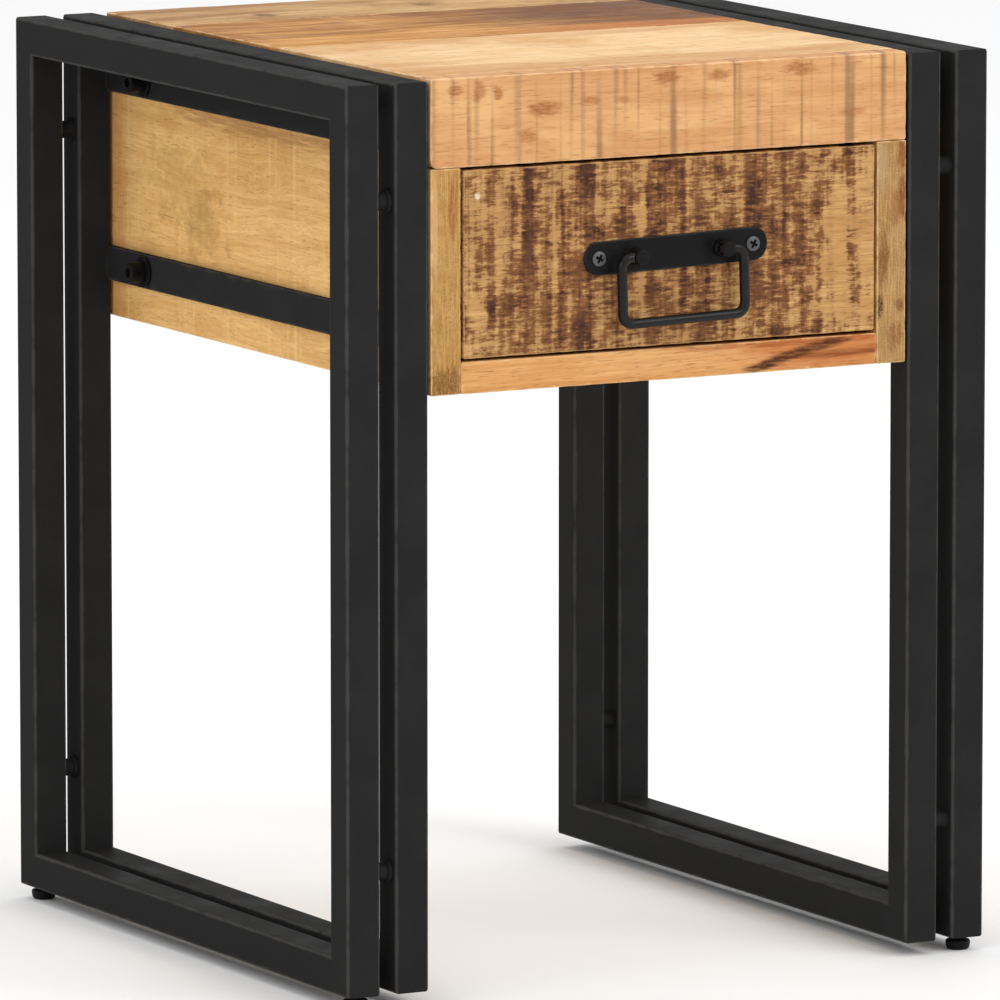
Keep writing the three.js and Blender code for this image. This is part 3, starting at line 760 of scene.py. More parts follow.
stain_group, given, gives = new_group(
    "stained fibres", [("Vector", "Vector", (0, 0, 0)), ("Cover", "Float", 0.5)], ["Haze", "Mask", "Deep"])
columns = noise(stain_group, given["Vector"], (150, 7, 7), 2.0, 0.6)
patches = noise(stain_group, given["Vector"], (80, 55, 55), 4.0, 0.64)
dashes = noise(stain_group, given["Vector"], (120, 640, 640), 3.0, 0.72)
mixed = maths(stain_group, "MULTIPLY_ADD", columns, 0.32, times(stain_group, patches, 0.42))
mixed = maths(stain_group, "MULTIPLY_ADD", dashes, 0.38, mixed)
edge = maths(stain_group, "SUBTRACT", 1.08, given["Cover"])
above = maths(stain_group, "ADD", edge, 0.05)
stain_group.links.new(step_up(stain_group, mixed, maths(stain_group, "SUBTRACT", edge, 0.05), edge),
                      gives["Haze"])
stain_group.links.new(step_up(stain_group, mixed, edge, above), gives["Mask"])
darker = step_up(stain_group, mixed, above, maths(stain_group, "ADD", above, 0.075))
uneven = noise(stain_group, given["Vector"], (60, 60, 60), 4.0, 0.7)
uneven = step_up(stain_group, uneven, 0.3, 0.6, 0.45, 1.0)
stain_group.links.new(times(stain_group, darker, uneven), gives["Deep"])

blotch_group, given, gives = new_group(
    "blotches", [("Vector", "Vector", (0, 0, 0)), ("Cover", "Float", 0.5)], ["Mask"])
clouds = noise(blotch_group, given["Vector"], (17, 34, 34), 4.0, 0.6)
edge = maths(blotch_group, "SUBTRACT", 1.0, given["Cover"])
blotch_group.links.new(step_up(blotch_group, clouds, edge, maths(blotch_group, "ADD", edge, 0.22)),
                       gives["Mask"])

spot_group, given, gives = new_group(
    "soft spot", [("Vector", "Vector", (0, 0, 0)), ("Centre", "Vector", (0, 0, 0)),
                  ("Size", "Vector", (1, 1, 1)), ("Ragged", "Float", 0.8),
                  ("Weave", "Vector", (150, 150, 150)), ("Broken", "Float", 0.35)], ["Mask"])
away = vector_maths(spot_group, "SUBTRACT", given["Vector"], given["Centre"])
away = vector_maths(spot_group, "DIVIDE", away, given["Size"])
away = put(spot_group, "VectorMath", {0: away}, operation="LENGTH").outputs["Value"]
rough = noise(spot_group, given["Vector"], given["Weave"], 4.0, 0.65)
rough = times(spot_group, maths(spot_group, "SUBTRACT", rough, 0.5), given["Ragged"])
finer = vector_maths(spot_group, "SCALE", given["Weave"], 2.3)
broken = noise(spot_group, given["Vector"], finer, 3.0, 0.6)
missing = times(spot_group, step_up(spot_group, broken, 0.38, 0.58, 1.0, 0.0), given["Broken"])
whole = step_up(spot_group, maths(spot_group, "ADD", away, rough), 0.4, 1.1, 1.0, 0.0)
spot_group.links.new(times(spot_group, whole, maths(spot_group, "SUBTRACT", 1.0, missing)),
                     gives["Mask"])
print("wood groups", [g.name for g in bpy.data.node_groups])

# %% [markdown]
# ## One recipe, many boards
#
# No two boards look alike, but all are painted in the same order: pale wood, deeper bands, fibres,
# stained fibres, blotches, saw marks, spots, the lighter edge (partly wear, partly a painted highlight)
# and last the pores. So one function builds every wood material, and each board only brings its own
# colours and shares. A spot is a centre, a size, how ragged it is, its colour, its share, and the weave
# of its ragged edge: the larger a number in the weave, the finer the edge breaks up along that axis.

# %% Wood recipe
ALONG_X, ALONG_Y = 0.0, -math.pi / 2


def wood(name, pale, deep, along=ALONG_X, shift=0.0, bands=0.6, fibres=(rgb(150, 105, 60), 0.25),
         saw=None, stain=None, blotch=None, spots=(), worn=(rgb(246, 214, 168), 0.6),
         pores=(rgb(110, 70, 38), 0.35), roughness=(0.42, 0.62), waviness=0.006, fade=None,
         scale=(1, 1, 1)):
    """A sawn board's finish. saw is (colour, share, raggedness), stain (colour, deep colour, share,
    cover), blotch (colour, share, cover); fade is a spot that keeps stain and saw marks away; a scale
    under 1 makes the figure broader along that axis."""
    material, tree, shader = new_material(name)
    place = put(tree, "TexCoord").outputs["Object"]
    sockets = {"Vector": place, "Location": (shift, shift * 0.7, shift * 1.3), "Rotation": (0, 0, along),
               "Scale": scale}
    turned_place = put(tree, "Mapping", sockets).outputs[0]
    lines = use_group(tree, grain_group, vector=turned_place, waviness=waviness)
    colour = lay(tree, pale, lines["Bands"], bands, deep)
    colour = lay(tree, colour, lines["Fibre"], fibres[1], fibres[0])
    height = times(tree, lines["Fibre"], -0.35)
    keep = 1.0
    if fade:
        centre, size, share = fade
        spot = use_group(tree, spot_group, vector=place, centre=centre, size=size, ragged=0.5,
                         broken=0.0)["Mask"]
        keep = maths(tree, "MULTIPLY_ADD", spot, -share, 1.0)
    if blotch:
        mask = use_group(tree, blotch_group, vector=turned_place, cover=blotch[2])["Mask"]
        colour = lay(tree, colour, mask, blotch[1], blotch[0])
    if stain:
        cover = maths(tree, "ADD", stain[3] - 0.16, times(tree, keep, 0.16))
        mask = use_group(tree, stain_group, vector=turned_place, cover=cover)
        haze = tuple((a + b) / 2 for a, b in zip(stain[0], pale))
        colour = lay(tree, colour, mask["Haze"], stain[2], haze)
        colour = lay(tree, colour, mask["Mask"], stain[2], stain[0])
        colour = lay(tree, colour, mask["Deep"], stain[2], stain[1])
        height = maths(tree, "MULTIPLY_ADD", mask["Mask"], -0.4, height)
    if saw:
        mask = use_group(tree, saw_group, vector=turned_place, ragged=saw[2])["Marks"]
        mask = times(tree, mask, keep)
        colour = lay(tree, colour, mask, saw[1], saw[0])
        height = maths(tree, "MULTIPLY_ADD", mask, -0.5, height)
    for centre, size, ragged, shade, share, *weave in spots:
        weave = weave[0] if weave else (150, 150, 150)
        mask = use_group(tree, spot_group, vector=place, centre=centre, size=size, ragged=ragged,
                         weave=weave)["Mask"]
        streaky = maths(tree, "MULTIPLY_ADD", lines["Fibre"], -0.35, 1.0)
        mask = times(tree, mask, streaky)
        colour = lay(tree, colour, mask, share, shade)
    # The edges are lighter in the worn colour: partly real wear, partly a painted highlight.
    edge = use_group(tree, wear_and_highlight_group, vector=place, amount=worn[1], scale=120.0)["Mask"]
    colour = tint(tree, edge, colour, worn[0])
    colour = lay(tree, colour, lines["Pores"], pores[1], pores[0])
    height = maths(tree, "MULTIPLY_ADD", lines["Pores"], -0.6, height)
    tree.links.new(colour, shader.inputs["Base Color"])
    rough = maths(tree, "MULTIPLY_ADD", lines["Fibre"], roughness[1] - roughness[0], roughness[0])
    tree.links.new(maths(tree, "MULTIPLY_ADD", edge, -0.08, rough), shader.inputs["Roughness"])
    shader.inputs["Specular IOR Level"].default_value = 0.05
    bump = put(tree, "Bump", {"Strength": 0.6, "Distance": 0.00022, "Height": height})
    tree.links.new(bump.outputs[0], shader.inputs["Normal"])
    return material


def within(node, x=0.5, y=0.5, z=0.5):
    """A point inside a CAD node's box, by its share of the width, depth and height."""
    low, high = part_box(node)
    return tuple(low[k] + (high[k] - low[k]) * share for k, share in enumerate((x, y, z)))


print("wood recipe ready")

# %% [markdown]
# ## Sawn relief
#
# The teeth leave shallow furrows across the board, one to four millimetres wide and at most a fifth of
# a millimetre deep. They are cut into the surface itself, and the same numbers are kept as the mask
# "saw", so the colour sits exactly in the furrows. Hand planing makes the face slightly uneven, and the
# edges are worn back irregularly.

# %% Furrows and wear
def furrows(along, across, spacing, seed, width, depths):
    """How deep the saw bit, 0 to 1: the sum of bell curves, one for each furrow, each with its own
    place along the board, width and depth, fading in and out across the board as a slow sine."""
    rng = np.random.default_rng(seed)
    low, span = along.min(), np.ptp(along)
    count = max(2, int(span / spacing))
    place = low + span * (np.arange(count) + 0.5 + rng.uniform(-0.42, 0.42, count)) / count
    wide = rng.uniform(*width, count) * MM
    depth = rng.uniform(*depths, count)
    lean = rng.normal(0, 0.012, count)
    slow = np.sin(across[:, None] * rng.uniform(15, 70, count) + rng.uniform(0, 6.28, count))
    off = along[:, None] - place - lean * (across - across.mean())[:, None]
    return np.clip((np.exp(-((off / wide) ** 2)) * depth * (0.7 + 0.3 * slow)).sum(1), 0, 1)


def sawn(name, node, material, body, slot, grain=0, across=2, spacing=9.5, seed=1, bite=0.16,
         radius=1.3, step=1.5, shape=None, extra=None, coarse=None, width=(0.7, 2.0),
         depths=(0.3, 1.0)):
    """A sawn board in the place of a CAD node: furrows across the grain, a planed unevenness of 0.08 mm
    and edges worn back up to half a millimetre."""
    def marks(points):
        return furrows(points[:, grain], points[:, across], spacing * MM, seed, width, depths)

    def relief(points, out, near):
        uneven = np.clip(0.5 + 0.5 * wobble(points, 38 * MM, seed + 1), 0, 1)
        chewed = np.clip(wobble(points, 11 * MM, seed + 2), 0, 1)
        return (bite * marks(points) + 0.08 * uneven + near**2 * (0.12 + 0.4 * chewed)) * MM

    steps = [(coarse or step) * MM] * 3
    steps[grain] = step * MM
    steps[across] = step * MM
    return block(name, node, steps, radius * MM, material, body, slot, relief, shape, extra=extra,
                 saw=marks)


def notched(points, low, high):
    """Lowers the front strip of a side board to the underside of the front lip: heights in the strip
    are squeezed in the ratio of the lower height to the full one."""
    lip_low, lip_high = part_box("top_front_board")
    share = (lip_low.z - low[2]) / (high[2] - low[2])
    strip = points[:, 1] < lip_high.y - 0.05 * MM
    points = points.copy()
    points[strip, 2] = low[2] + (points[strip, 2] - low[2]) * share
    return points


def corner_cut(radius):
    """Rounds the lower left corner of the front: a point nearer the corner than the circle of that
    radius is pulled along its line to the circle's centre until it lies on the circle."""
    def shape(points, low, high):
        centre = low[[0, 2]] + radius
        off = points[:, [0, 2]] - centre
        far = np.linalg.norm(off, axis=1)
        outside = (off < 0).all(1) & (far > radius)
        points = points.copy()
        points[outside[:, None] & [True, False, True]] = \
            (centre + off[outside] / far[outside, None] * radius).ravel()
        return points
    return shape


print("sawing ready")

# %% [markdown]
# ## The top: a lip and three planks
#
# A thick board on edge closes the front, and three planks of different wood lie behind it. The lip is
# peach-coloured with grey saw lines and small rusty knots, the first plank is cream, the middle one
# turns from gold to dark brown, and the last is a greyish beige.

# %% Top boards
RUST, RESIN = rgb(146, 80, 36), rgb(62, 30, 20)
lip = "top_front_board"
lip_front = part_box(lip)[0].y
lip_spots = [((within(lip, share)[0], lip_front, within(lip, 0, 0, up)[2]), (wide * MM, 12 * MM, tall * MM),
              1.7, RUST, depth, (110, 260, 380))
             for share, up, wide, tall, depth in (
                 (0.235, 0.60, 12, 5.5, 0.95), (0.14, 0.80, 4, 4, 0.9), (0.49, 0.86, 9, 5, 0.85),
                 (0.60, 0.86, 9, 4, 0.8), (0.77, 0.88, 11, 5, 0.8), (0.33, 0.66, 8, 3, 0.7),
                 (0.05, 0.85, 5, 5, 0.8), (0.20, 0.30, 7, 5, 0.7), (0.10, 0.84, 5, 6, 0.75),
                 (0.40, 0.64, 6, 2.5, 0.6), (0.88, 0.35, 10, 3, 0.4))]
lip_wood = wood("peach lip", rgb(218, 166, 116), rgb(196, 138, 88), shift=0.31, bands=0.6,
                fibres=(rgb(178, 120, 72), 0.3), saw=(rgb(140, 106, 76), 0.8, 0.4),
                blotch=(rgb(228, 184, 126), 0.55, 0.54), spots=lip_spots,
                worn=(rgb(248, 216, 172), 0.55), pores=(rgb(140, 88, 50), 0.4))
sawn("lip", lip, lip_wood, "frame", "lip_wood", spacing=9.2, seed=11, radius=1.6, shape=corner_cut(5 * MM),
     width=(0.9, 2.4), depths=(0.55, 1.0))

cream = wood("cream plank", rgb(238, 202, 152), rgb(192, 138, 80), shift=0.77, bands=0.8,
             fibres=(rgb(206, 156, 98), 0.35), saw=(rgb(206, 162, 106), 0.35, 1.0),
             blotch=(rgb(204, 150, 86), 0.75, 0.5), worn=(rgb(255, 232, 194), 0.5), scale=(0.8, 0.3, 1))
sawn("front_plank", "top_front_plank", cream, "frame", "cream_plank", across=1, spacing=14, seed=21,
     radius=0.8, step=2.0, coarse=2.5)

middle = "top_middle_plank"
LONG_WEAVE = (24, 260, 260)
dark_end = (within(middle, 0.96, 0.60, 1.0), (0.16, 0.09, 0.03), 1.4, rgb(88, 48, 24), 0.95, LONG_WEAVE)
amber = (within(middle, 0.8, 0.10, 1.0), (0.12, 0.020, 0.03), 1.2, rgb(186, 104, 44), 0.8, LONG_WEAVE)
golden = wood("golden plank", rgb(216, 156, 82), rgb(128, 74, 28), shift=1.21, bands=0.95,
              fibres=(rgb(140, 90, 40), 0.45), saw=(rgb(236, 196, 130), 0.5, 0.7),
              blotch=(rgb(126, 74, 30), 0.8, 0.52), spots=[dark_end, amber], scale=(0.7, 0.3, 1))
sawn("middle_plank", middle, golden, "frame", "golden_plank", across=1, spacing=19, seed=31, radius=0.8,
     step=2.0, coarse=2.5, width=(0.4, 0.9))

rear = "top_back_plank"
knots = [(within(rear, share, deep, 1.0), (0.009, 0.010, 0.02), 1.8, rgb(92, 60, 36), 0.9, (260, 420, 260))
         for share, deep in ((0.24, 0.3), (0.60, 0.42), (0.83, 0.4))]
beige = wood("beige plank", rgb(206, 164, 110), rgb(142, 98, 54), shift=1.93, bands=0.95,
             fibres=(rgb(150, 110, 68), 0.4), saw=(rgb(160, 124, 84), 0.45, 0.8), spots=knots,
             blotch=(rgb(156, 112, 66), 0.7, 0.5), scale=(0.8, 0.3, 1))
sawn("back_plank", rear, beige, "frame", "beige_plank", across=1, spacing=15, seed=41, radius=0.8,
     step=2.0, coarse=2.5)

# %% [markdown]
# ## Sides, rail, floor and back
#
# The side boards are gold with soft upright streaks and a greenish stain in the middle; their front
# ends show end grain, which is browner. Below the drawer a rail closes the front, orange at the right
# end, with a dark streak of resin rising across it. The floor and back board are plain.

# %% Case boards
def streak(node, start, end, count, size, colour, share, ragged=0.9):
    """Spots in a row, start to end by shares of the front face, that run together into one streak."""
    return [(within(node, start[0] + (end[0] - start[0]) * k, 0.0, start[1] + (end[1] - start[1]) * k),
             size, ragged, colour, share, (60, 200, 420)) for k in np.linspace(0, 1, count)]


for side, sign in SIDES:
    node = f"{side}_side_panel"
    face = 0.0 if sign < 0 else 1.0
    mirrored = 0.0 if sign < 0 else 0.07
    cloudy, upright = (60, 60, 80), (480, 480, 20)
    green = [(within(node, face, 0.77 - mirrored, 0.54), (0.03, 0.050, 0.030), 2.8, rgb(168, 126, 66), 0.5,
              cloudy),
             (within(node, face, 0.68 - mirrored, 0.40), (0.03, 0.036, 0.022), 2.8, rgb(156, 118, 62), 0.5,
              cloudy),
             (within(node, face, 0.975, 0.45), (0.03, 0.020, 0.15), 1.2, rgb(200, 126, 66), 0.6,
              (60, 160, 30)),
             (within(node, face, 0.52, 0.82), (0.03, 0.12, 0.008), 2.4, rgb(150, 98, 48), 0.7,
              (30, 30, 500))]
    if sign < 0:
        ends = [(0.50, 0.30, 22, 190, 0.8, rgb(152, 112, 60), 0.9, upright),
                (0.72, 0.66, 4, 18, 2.0, rgb(150, 84, 44), 0.85, upright),
                (0.50, 0.04, 16, 12, 2.6, rgb(112, 70, 36), 0.9, (420, 300, 130)),
                (0.12, 0.62, 3, 34, 2.0, rgb(214, 170, 120), 0.7, upright)]
    else:
        ends = [(0.50, 0.40, 22, 190, 0.8, rgb(140, 108, 72), 0.95, upright),
                (0.22, 0.38, 4.5, 24, 2.2, rgb(118, 72, 38), 0.95, (420, 300, 60)),
                (0.10, 0.21, 3.2, 8, 1.2, rgb(52, 30, 26), 1.0, (420, 300, 160)),
                (0.85, 0.75, 4, 12, 1.8, rgb(134, 72, 38), 0.95, (300, 300, 90)),
                (0.90, 0.60, 5, 14, 2.0, rgb(122, 62, 34), 1.0, (300, 300, 90)),
                (0.62, 0.56, 5, 12, 2.4, rgb(146, 98, 58), 0.8, (300, 300, 90)),
                (0.80, 0.21, 4, 4, 1.6, rgb(118, 70, 40), 0.95, (420, 300, 300)),
                (0.62, 0.10, 6, 10, 2.4, rgb(132, 84, 48), 0.85, (300, 300, 130)),
                (0.15, 0.72, 5, 18, 2.0, rgb(178, 148, 112), 0.8, upright)]
    ends = [(within(node, x, 0.0, up), (wide * MM, 4 * MM, tall * MM), ragged, shade, share, weave)
            for x, up, wide, tall, ragged, shade, share, weave in ends]
    side_wood = wood(f"{side} side wood", rgb(236, 190, 122), rgb(210, 158, 92), along=ALONG_Y,
                     shift=2.3 + 0.4 * sign, bands=0.7, fibres=(rgb(186, 134, 76), 0.35),
                     saw=(rgb(248, 212, 150), 0.35, 1.4), blotch=(rgb(202, 150, 84), 0.6, 0.5),
                     spots=green + ends, worn=(rgb(244, 208, 150), 0.7), waviness=0.03)
    lip_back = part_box(lip)[1].y
    sawn(f"{side}_side_board", node, side_wood, "frame", "side_wood", grain=1, across=2, spacing=8,
         seed=51 + sign, bite=0.1, radius=1.0, step=2.0, coarse=2.5, shape=notched,
         extra=((), (lip_back - 0.1 * MM, lip_back), ()))

rail = "front_rail"
dark = streak(rail, (0.70, 0.10), (0.77, 0.40), 4, (0.010, 0.03, 0.0026), RESIN, 0.9) \
    + streak(rail, (0.78, 0.46), (0.90, 0.86), 5, (0.014, 0.03, 0.0024), RESIN, 0.9)
red_end = [(within(rail, 0.91, 0.0, 0.62), (0.075, 0.03, 0.013), 1.6, rgb(168, 80, 34), 0.85, LONG_WEAVE),
           (within(rail, 0.80, 0.0, 0.95), (0.10, 0.03, 0.004), 2.0, rgb(150, 74, 34), 0.7, LONG_WEAVE),
           (within(rail, 0.93, 0.0, 0.45), (0.05, 0.03, 0.0022), 2.0, rgb(104, 52, 26), 0.8, LONG_WEAVE)]
rail_wood = wood("orange rail", rgb(222, 168, 110), rgb(200, 138, 78), shift=3.1, bands=0.8,
                 fibres=(rgb(178, 118, 66), 0.4), spots=red_end + dark, worn=(rgb(240, 196, 140), 0.7),
                 blotch=(rgb(200, 142, 84), 0.5, 0.5))
sawn("rail_board", rail, rail_wood, "frame", "rail_wood", spacing=26, seed=61, bite=0.05, radius=1.0,
     step=1.5)

plain = wood("plain wood", rgb(206, 166, 112), rgb(186, 142, 88), shift=4.4, bands=0.8,
             fibres=(rgb(168, 124, 74), 0.35), blotch=(rgb(184, 138, 84), 0.45, 0.48))
plain_deep = wood("plain wood along the depth", rgb(210, 172, 118), rgb(188, 146, 94), along=ALONG_Y,
                  shift=5.2, bands=0.8, fibres=(rgb(168, 124, 74), 0.35))
sawn("case_floor", "bottom_board", plain, "frame", "plain_wood", across=1, spacing=24, seed=71, bite=0.05,
     radius=0.8, step=4.0)
sawn("case_back", "back_panel", plain, "frame", "plain_wood", spacing=20, seed=81, bite=0.05, radius=0.7,
     step=3.0)
print("case boards done")

# %% [markdown]
# ## The drawer face
#
# This is the board that everyone looks at. Its saw marks are deep and caught a dark stain, which
# breaks up into short dashes along the fibres and fades towards the right edge and the rubbed rim. The
# columns, patches and dashes of the stain group are what make that broken pattern.

# %% Drawer face
face = "drawer_front"
chip = [(within(face, 0.033, 0.0, 0.86), (0.0022, 0.01, 0.0026), 0.9, rgb(238, 226, 200), 0.9)]
face_wood = wood("stained drawer face", rgb(208, 166, 108), rgb(182, 134, 80), shift=6.7, bands=0.6,
                 fibres=(rgb(150, 104, 60), 0.5), saw=(rgb(116, 78, 52), 0.4, 1.3),
                 stain=(rgb(126, 80, 48), rgb(54, 34, 32), 0.92, 0.56),
                 blotch=(rgb(182, 128, 76), 0.5, 0.5), spots=chip, worn=(rgb(206, 164, 108), 0.75),
                 fade=(within(face, 1.0, 0.0, 0.42), (0.045, 0.05, 0.075), 0.55))
sawn("drawer_face", face, face_wood, "drawer", "drawer_front_wood", spacing=8.5, seed=91, bite=0.2,
     radius=1.2, step=1.3, coarse=2.5)
print("drawer face done")

# %% [markdown]
# ## The drawer box
#
# The sides, back and bottom of the drawer and the guide frame above it have grooves and steps that the
# CAD already cut. A copy of the CAD mesh is merged, its flat faces are joined, and a small bevel takes
# the sharpness off, which is what a cabinet maker's sandpaper does.

# %% Softened copies
import bmesh


def softened(name, node, material, body, width=0.6 * MM):
    """A copy of a CAD node with its loose triangles merged and a bevel of that width on its edges."""
    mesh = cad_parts[node].data.copy()
    mesh.name = name
    made = bmesh.new()
    made.from_mesh(mesh)
    bmesh.ops.remove_doubles(made, verts=made.verts, dist=1e-6)
    bmesh.ops.dissolve_limit(made, angle_limit=0.02, verts=made.verts, edges=made.edges)
    made.to_mesh(mesh)
    made.free()
    mesh.materials.clear()
    mesh.materials.append(material)
    piece = bpy.data.objects.new(name, mesh)
    scene.collection.objects.link(piece)
    bevel = piece.modifiers.new("eased edges", "BEVEL")
    bevel.width, bevel.segments, bevel.limit_method = width, 2, "ANGLE"
    bevel.angle_limit = math.radians(40)
    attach(piece, body)
    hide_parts(node)
    return piece


for name, node, material, body in (
        ("drawer_side_left", "drawer_left_side", plain_deep, "drawer"),
        ("drawer_side_right", "drawer_right_side", plain_deep, "drawer"),
        ("drawer_rear", "drawer_back", plain, "drawer"),
        ("drawer_floor", "drawer_bottom", plain, "drawer"),
        ("guides", "drawer_guide_frame", plain_deep, "frame")):
    made = softened(name, node, material, body)
    print(made.name, len(made.data.polygons), "faces")

# %% [markdown]
# ## The pull
#
# A black strip with round ends is screwed to the drawer face. Two posts stand on it, and a bent rod
# hangs from them: its ends are bent inwards and pass through the posts, so it swings. The strip is a
# block whose end squares are drawn into half discs; the rod is a circle carried along a bent line; the
# posts are turned, and bored with a boolean cut, because a round hole across a round post has no
# simple formula.

# %% Pull plate and posts
PULL_X, PULL_Z, PULL_TILT = 2.5 * MM, 414.75 * MM, math.radians(1.6)
PLATE_LONG, PLATE_TALL, PLATE_THICK = 117 * MM, 19 * MM, 1.5 * MM
plate_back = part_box("pull_plate")[1].y
low = np.array([PULL_X - PLATE_LONG / 2, plate_back - PLATE_THICK, PULL_Z - PLATE_TALL / 2])
high = low + [PLATE_LONG, PLATE_THICK, PLATE_TALL]
half = PLATE_TALL / 2


def tilt(piece):
    """Turns a mesh about the middle of the pull, in the plane of the drawer face: right end up."""
    pivot = Vector((PULL_X, 0, PULL_Z))
    piece.data.transform(Matrix.Translation(pivot) @ Matrix.Rotation(-PULL_TILT, 4, "Y")
                         @ Matrix.Translation(-pivot))
    return piece


points, quads = block_grid(low, high, (1.6 * MM, 1 * MM, 1.2 * MM), 0.5 * MM)
points, out, near = rounded(points, low, high, 0.45 * MM)
flat_x = (high[0] - low[0]) / 2 - half
off = points[:, [0, 2]] - [PULL_X, (high[2] + low[2]) / 2]
u = np.clip((np.abs(off[:, 0]) - flat_x) / half, 0, 1)
v = off[:, 1] / half
x = np.where(u > 0, flat_x + half * u * np.sqrt(1 - v**2 / 2), np.abs(off[:, 0])) * np.sign(off[:, 0])
z = half * v * np.sqrt(1 - u**2 / 2)
SCREW_OFF = 49.25 * MM
hollow = np.exp(-((np.hypot(np.abs(x) - SCREW_OFF, z) / (5.2 * MM)) ** 4))
front = out[:, 1] < -0.5
y = points[:, 1] + front * (0.35 * hollow + 0.05 * (1 + wobble(points, 9 * MM, 5))) * MM
points = np.stack([PULL_X + x, y, (high[2] + low[2]) / 2 + z], -1)
tilt(make_piece("pull_strip", points, [quads], pull_black, "drawer", "black_hardware", ["pull_plate"],
                arris=near))


def bored(piece, centre, axis, radius, length):
    """Cuts a round hole through a piece: a turned cutter is taken away from it, then thrown away."""
    line = np.array([(0, -length), (radius, -length), (radius, length), (0, length)])
    points, faces = skin(turned(line, centre, axis, 40))
    cutter = make_piece("cutter", points, faces, pull_black, "frame")
    cut = piece.modifiers.new("bore", "BOOLEAN")
    cut.operation, cut.solver, cut.object = "DIFFERENCE", "EXACT", cutter
    bpy.context.view_layer.update()
    mesh = bpy.data.meshes.new_from_object(piece.evaluated_get(bpy.context.evaluated_depsgraph_get()))
    piece.modifiers.clear()
    piece.data = mesh
    bpy.data.objects.remove(cutter)
    return piece


POST_OFF, POST, POST_LONG = 27.5 * MM, 4.5 * MM, 12.0 * MM
PIN_Y, BORE = -209.25 * MM, 3.25 * MM
for side, sign in SIDES:
    line = rounded_line([(0, -0.2 * MM), (POST + 0.9 * MM, -0.2 * MM), (POST, 1.2 * MM),
                         (POST, POST_LONG), (0, POST_LONG)], np.array([0.3, 0.9, 1.6]) * MM, 6)
    post = lathe(f"pull_{side}_post", line, (PULL_X + sign * POST_OFF, low[1], PULL_Z), (0, -1, 0), 48, 0.6,
                 pull_black, "black_hardware", body="drawer")
    tilt(bored(post, (PULL_X + sign * POST_OFF, PIN_Y, PULL_Z), (1, 0, 0), BORE, 8 * MM))
    print(post.name, len(post.data.polygons), "faces")

# %% [markdown]
# ## The bail and the screws
#
# The rod was bent hot, so it is a touch thicker at the bends and not quite even. Its path is a line
# with each corner replaced by a quarter circle; at every point of the path stands a circle, turned to
# face along it.

# %% Bail and screws
def bent_path(corners, radius, steps=9, spacing=2.0 * MM):
    """A flat line with round corners: straight parts cut into short steps, joined by arcs about the
    point that is radius inside both sides. Gives points and the direction at each."""
    corners = np.array(corners, float)
    pieces = []
    start = corners[0]
    for before, corner, after in zip(corners, corners[1:], corners[2:]):
        way_in = (corner - before) / np.linalg.norm(corner - before)
        way_out = (after - corner) / np.linalg.norm(after - corner)
        a, b = corner - way_in * radius, corner + way_out * radius
        count = max(2, int(np.linalg.norm(a - start) / spacing))
        share = np.linspace(0, 1, count, endpoint=False)[:, None]
        pieces.append(start + (a - start) * share)
        turn = np.linspace(0, np.pi / 2, steps, endpoint=False)[:, None]
        pieces.append(a + way_in * radius * np.sin(turn) + way_out * radius * (1 - np.cos(turn)))
        start = b
    count = max(2, int(np.linalg.norm(corners[-1] - start) / spacing))
    pieces.append(start + (corners[-1] - start) * np.linspace(0, 1, count)[:, None])
    path = np.concatenate(pieces)
    way = np.gradient(path, axis=0)
    return path, way / np.linalg.norm(way, axis=1, keepdims=True)


ROD, BAIL_DROP = 3 * MM, 37.25 * MM
leg_x, grip_z = 39 * MM, PULL_Z - BAIL_DROP
corners = np.array([(-23.5 * MM, PULL_Z), (-leg_x, PULL_Z), (-leg_x, grip_z), (leg_x, grip_z),
                    (leg_x, PULL_Z), (23.5 * MM, PULL_Z)]) + [PULL_X, 0]
path, way = bent_path(corners, 6 * MM)
angle = np.linspace(0, 2 * np.pi, 24, endpoint=False)
bent = np.linalg.norm(np.gradient(way, axis=0), axis=1)
size = ROD * (1 - 0.035 * (1 - np.clip(bent / bent.max(), 0, 1)))
share = np.arange(len(path))
from_end = np.minimum(share, share[::-1])
size = size * np.where(from_end == 0, 0.82, 1.0)
side_way = np.stack([way[:, 1], 0 * way[:, 0], -way[:, 0]], -1)
ring = np.cos(angle)[:, None] * side_way[:, None] + np.sin(angle)[:, None] * np.array([0, 1.0, 0])
centres = np.stack([path[:, 0], np.full(len(path), PIN_Y), path[:, 1]], -1)
flats = 1 - 0.02 * (1 + wobble(centres, 7 * MM, 8))
rings = centres[:, None] + ring * (size * flats)[:, None, None]
rings = np.concatenate([centres[:1, None] + 0 * ring[:1], rings, centres[-1:, None] + 0 * ring[-1:]])
points, faces = skin(rings)
tilt(make_piece("bail_rod", points, faces, bail_black, "bail", "black_hardware", ["pull_bail"],
                arris=np.full(len(points), 0.3)))


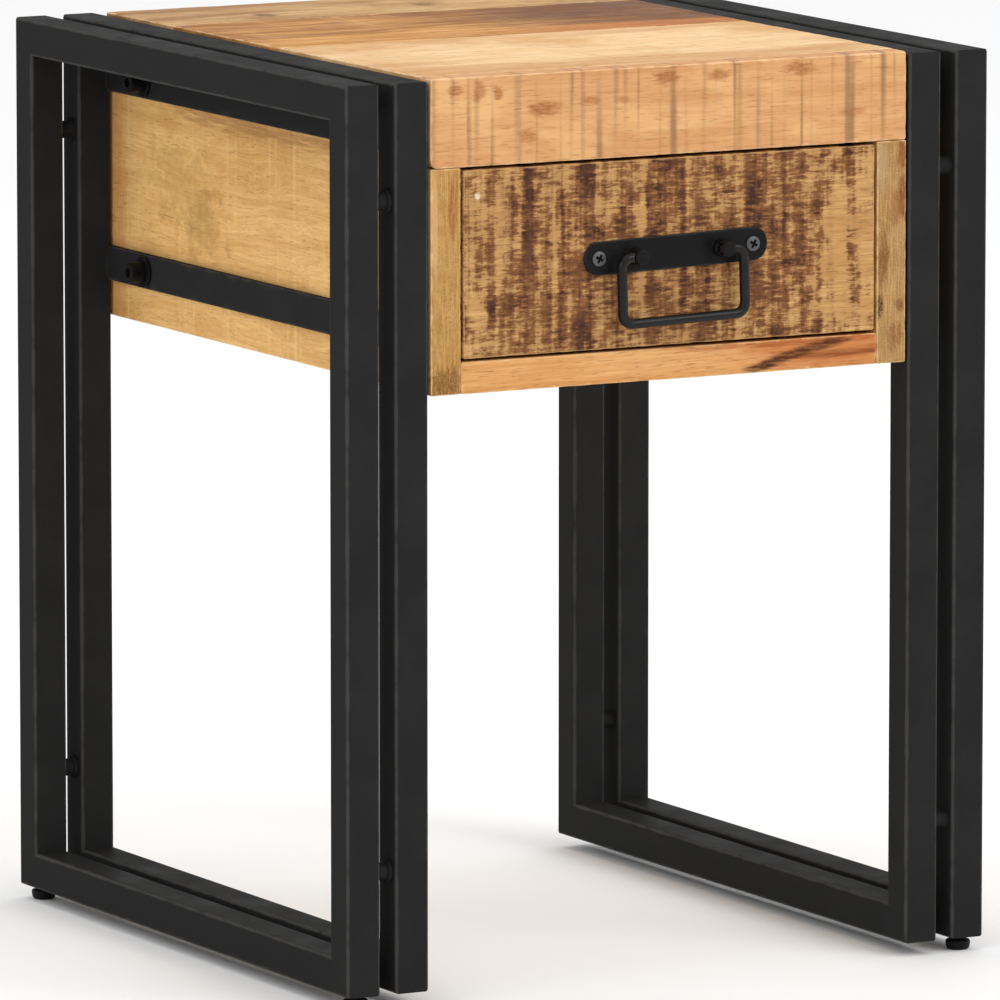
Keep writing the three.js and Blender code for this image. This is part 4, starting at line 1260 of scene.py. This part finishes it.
def cross_recess(radius, angle, arm, half_width, depth):
    """How far a cross is sunk: full depth where the nearer axis is within half_width and the farther
    within arm, rising smoothly over a fifth of a millimetre, and shallower towards the arms' ends."""
    p, q = np.abs(radius * np.cos(angle)), np.abs(radius * np.sin(angle))
    near, far = np.minimum(p, q), np.maximum(p, q)
    soft = 0.25 * MM
    inside = np.clip((half_width + soft - near) / soft, 0, 1) * np.clip((arm + soft - far) / soft, 0, 1)
    return depth * inside * (1 - 0.45 * np.clip(far / arm, 0, 1))


screw_steel = coated("screw steel", rgb(84, 84, 86), rgb(150, 150, 150), 0.5, (0.34, 0.5), 0.3, 0.08,
                     metallic=0.6)


def cross_screw(name, centre, axis, head, proud, body, nodes=()):
    """A pan-head screw with a cross recess: a low dome of rings close enough to carry the cross, and a
    short shank behind it."""
    share = np.linspace(0, 1, 22)
    dome = np.stack([head * share, proud * (1 - 0.55 * share**2.6)], -1)[::-1]
    shank, long, deepest = 1.7 * MM, 7 * MM, 0.4 * head
    behind = [(0, -long), (shank, -long), (shank, -0.4 * MM), (head * 0.93, -0.1 * MM), (head, 0.12 * MM)]
    line = np.concatenate([behind, dome])
    on_top = (np.arange(len(line)) >= len(behind))[:, None]

    def sink(radius, angle):
        return cross_recess(radius, angle + 0.5, 0.55 * head, 0.13 * head, deepest) * on_top

    sides = 96
    turn = np.linspace(0, 2 * np.pi, sides, endpoint=False)
    sunk = sink(line[:, :1] * np.ones(sides), turn)[1:-1].ravel() / deepest
    points, faces = skin(turned(line, centre, axis, sides, sink=sink))
    # The last mask paints the cross recess near black, three times as strongly as it is sunk: painted shade
    # in the recess.
    return make_piece(name, points, faces, screw_steel, body, "screw_steel", nodes,
                      arris=row_mask(line, sides, 0.5), grime=np.append(np.clip(3 * sunk, 0, 1), [0, 1]))


for side, sign in SIDES:
    centre = (PULL_X + sign * SCREW_OFF, low[1] + 0.3 * MM, PULL_Z)
    tilt(cross_screw(f"pull_{side}_fixing", centre, (0, -1, 0), 4.25 * MM, 1.5 * MM, "drawer",
                     [f"pull_{side}_screw"]))
back_low, back_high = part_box("back_panel")
places = [(x * MM, back_low.z + 9 * MM) for x in (-90, 0, 90)] + [(x * MM, 463 * MM) for x in (-127, 127)]
for number, (x, z) in enumerate(places, 1):
    cross_screw(f"back_screw_{number}", (x, back_high.y - 1.0 * MM, z), (0, 1, 0), 3.5 * MM, 0.9 * MM,
                "frame")
print("pull and screws done")
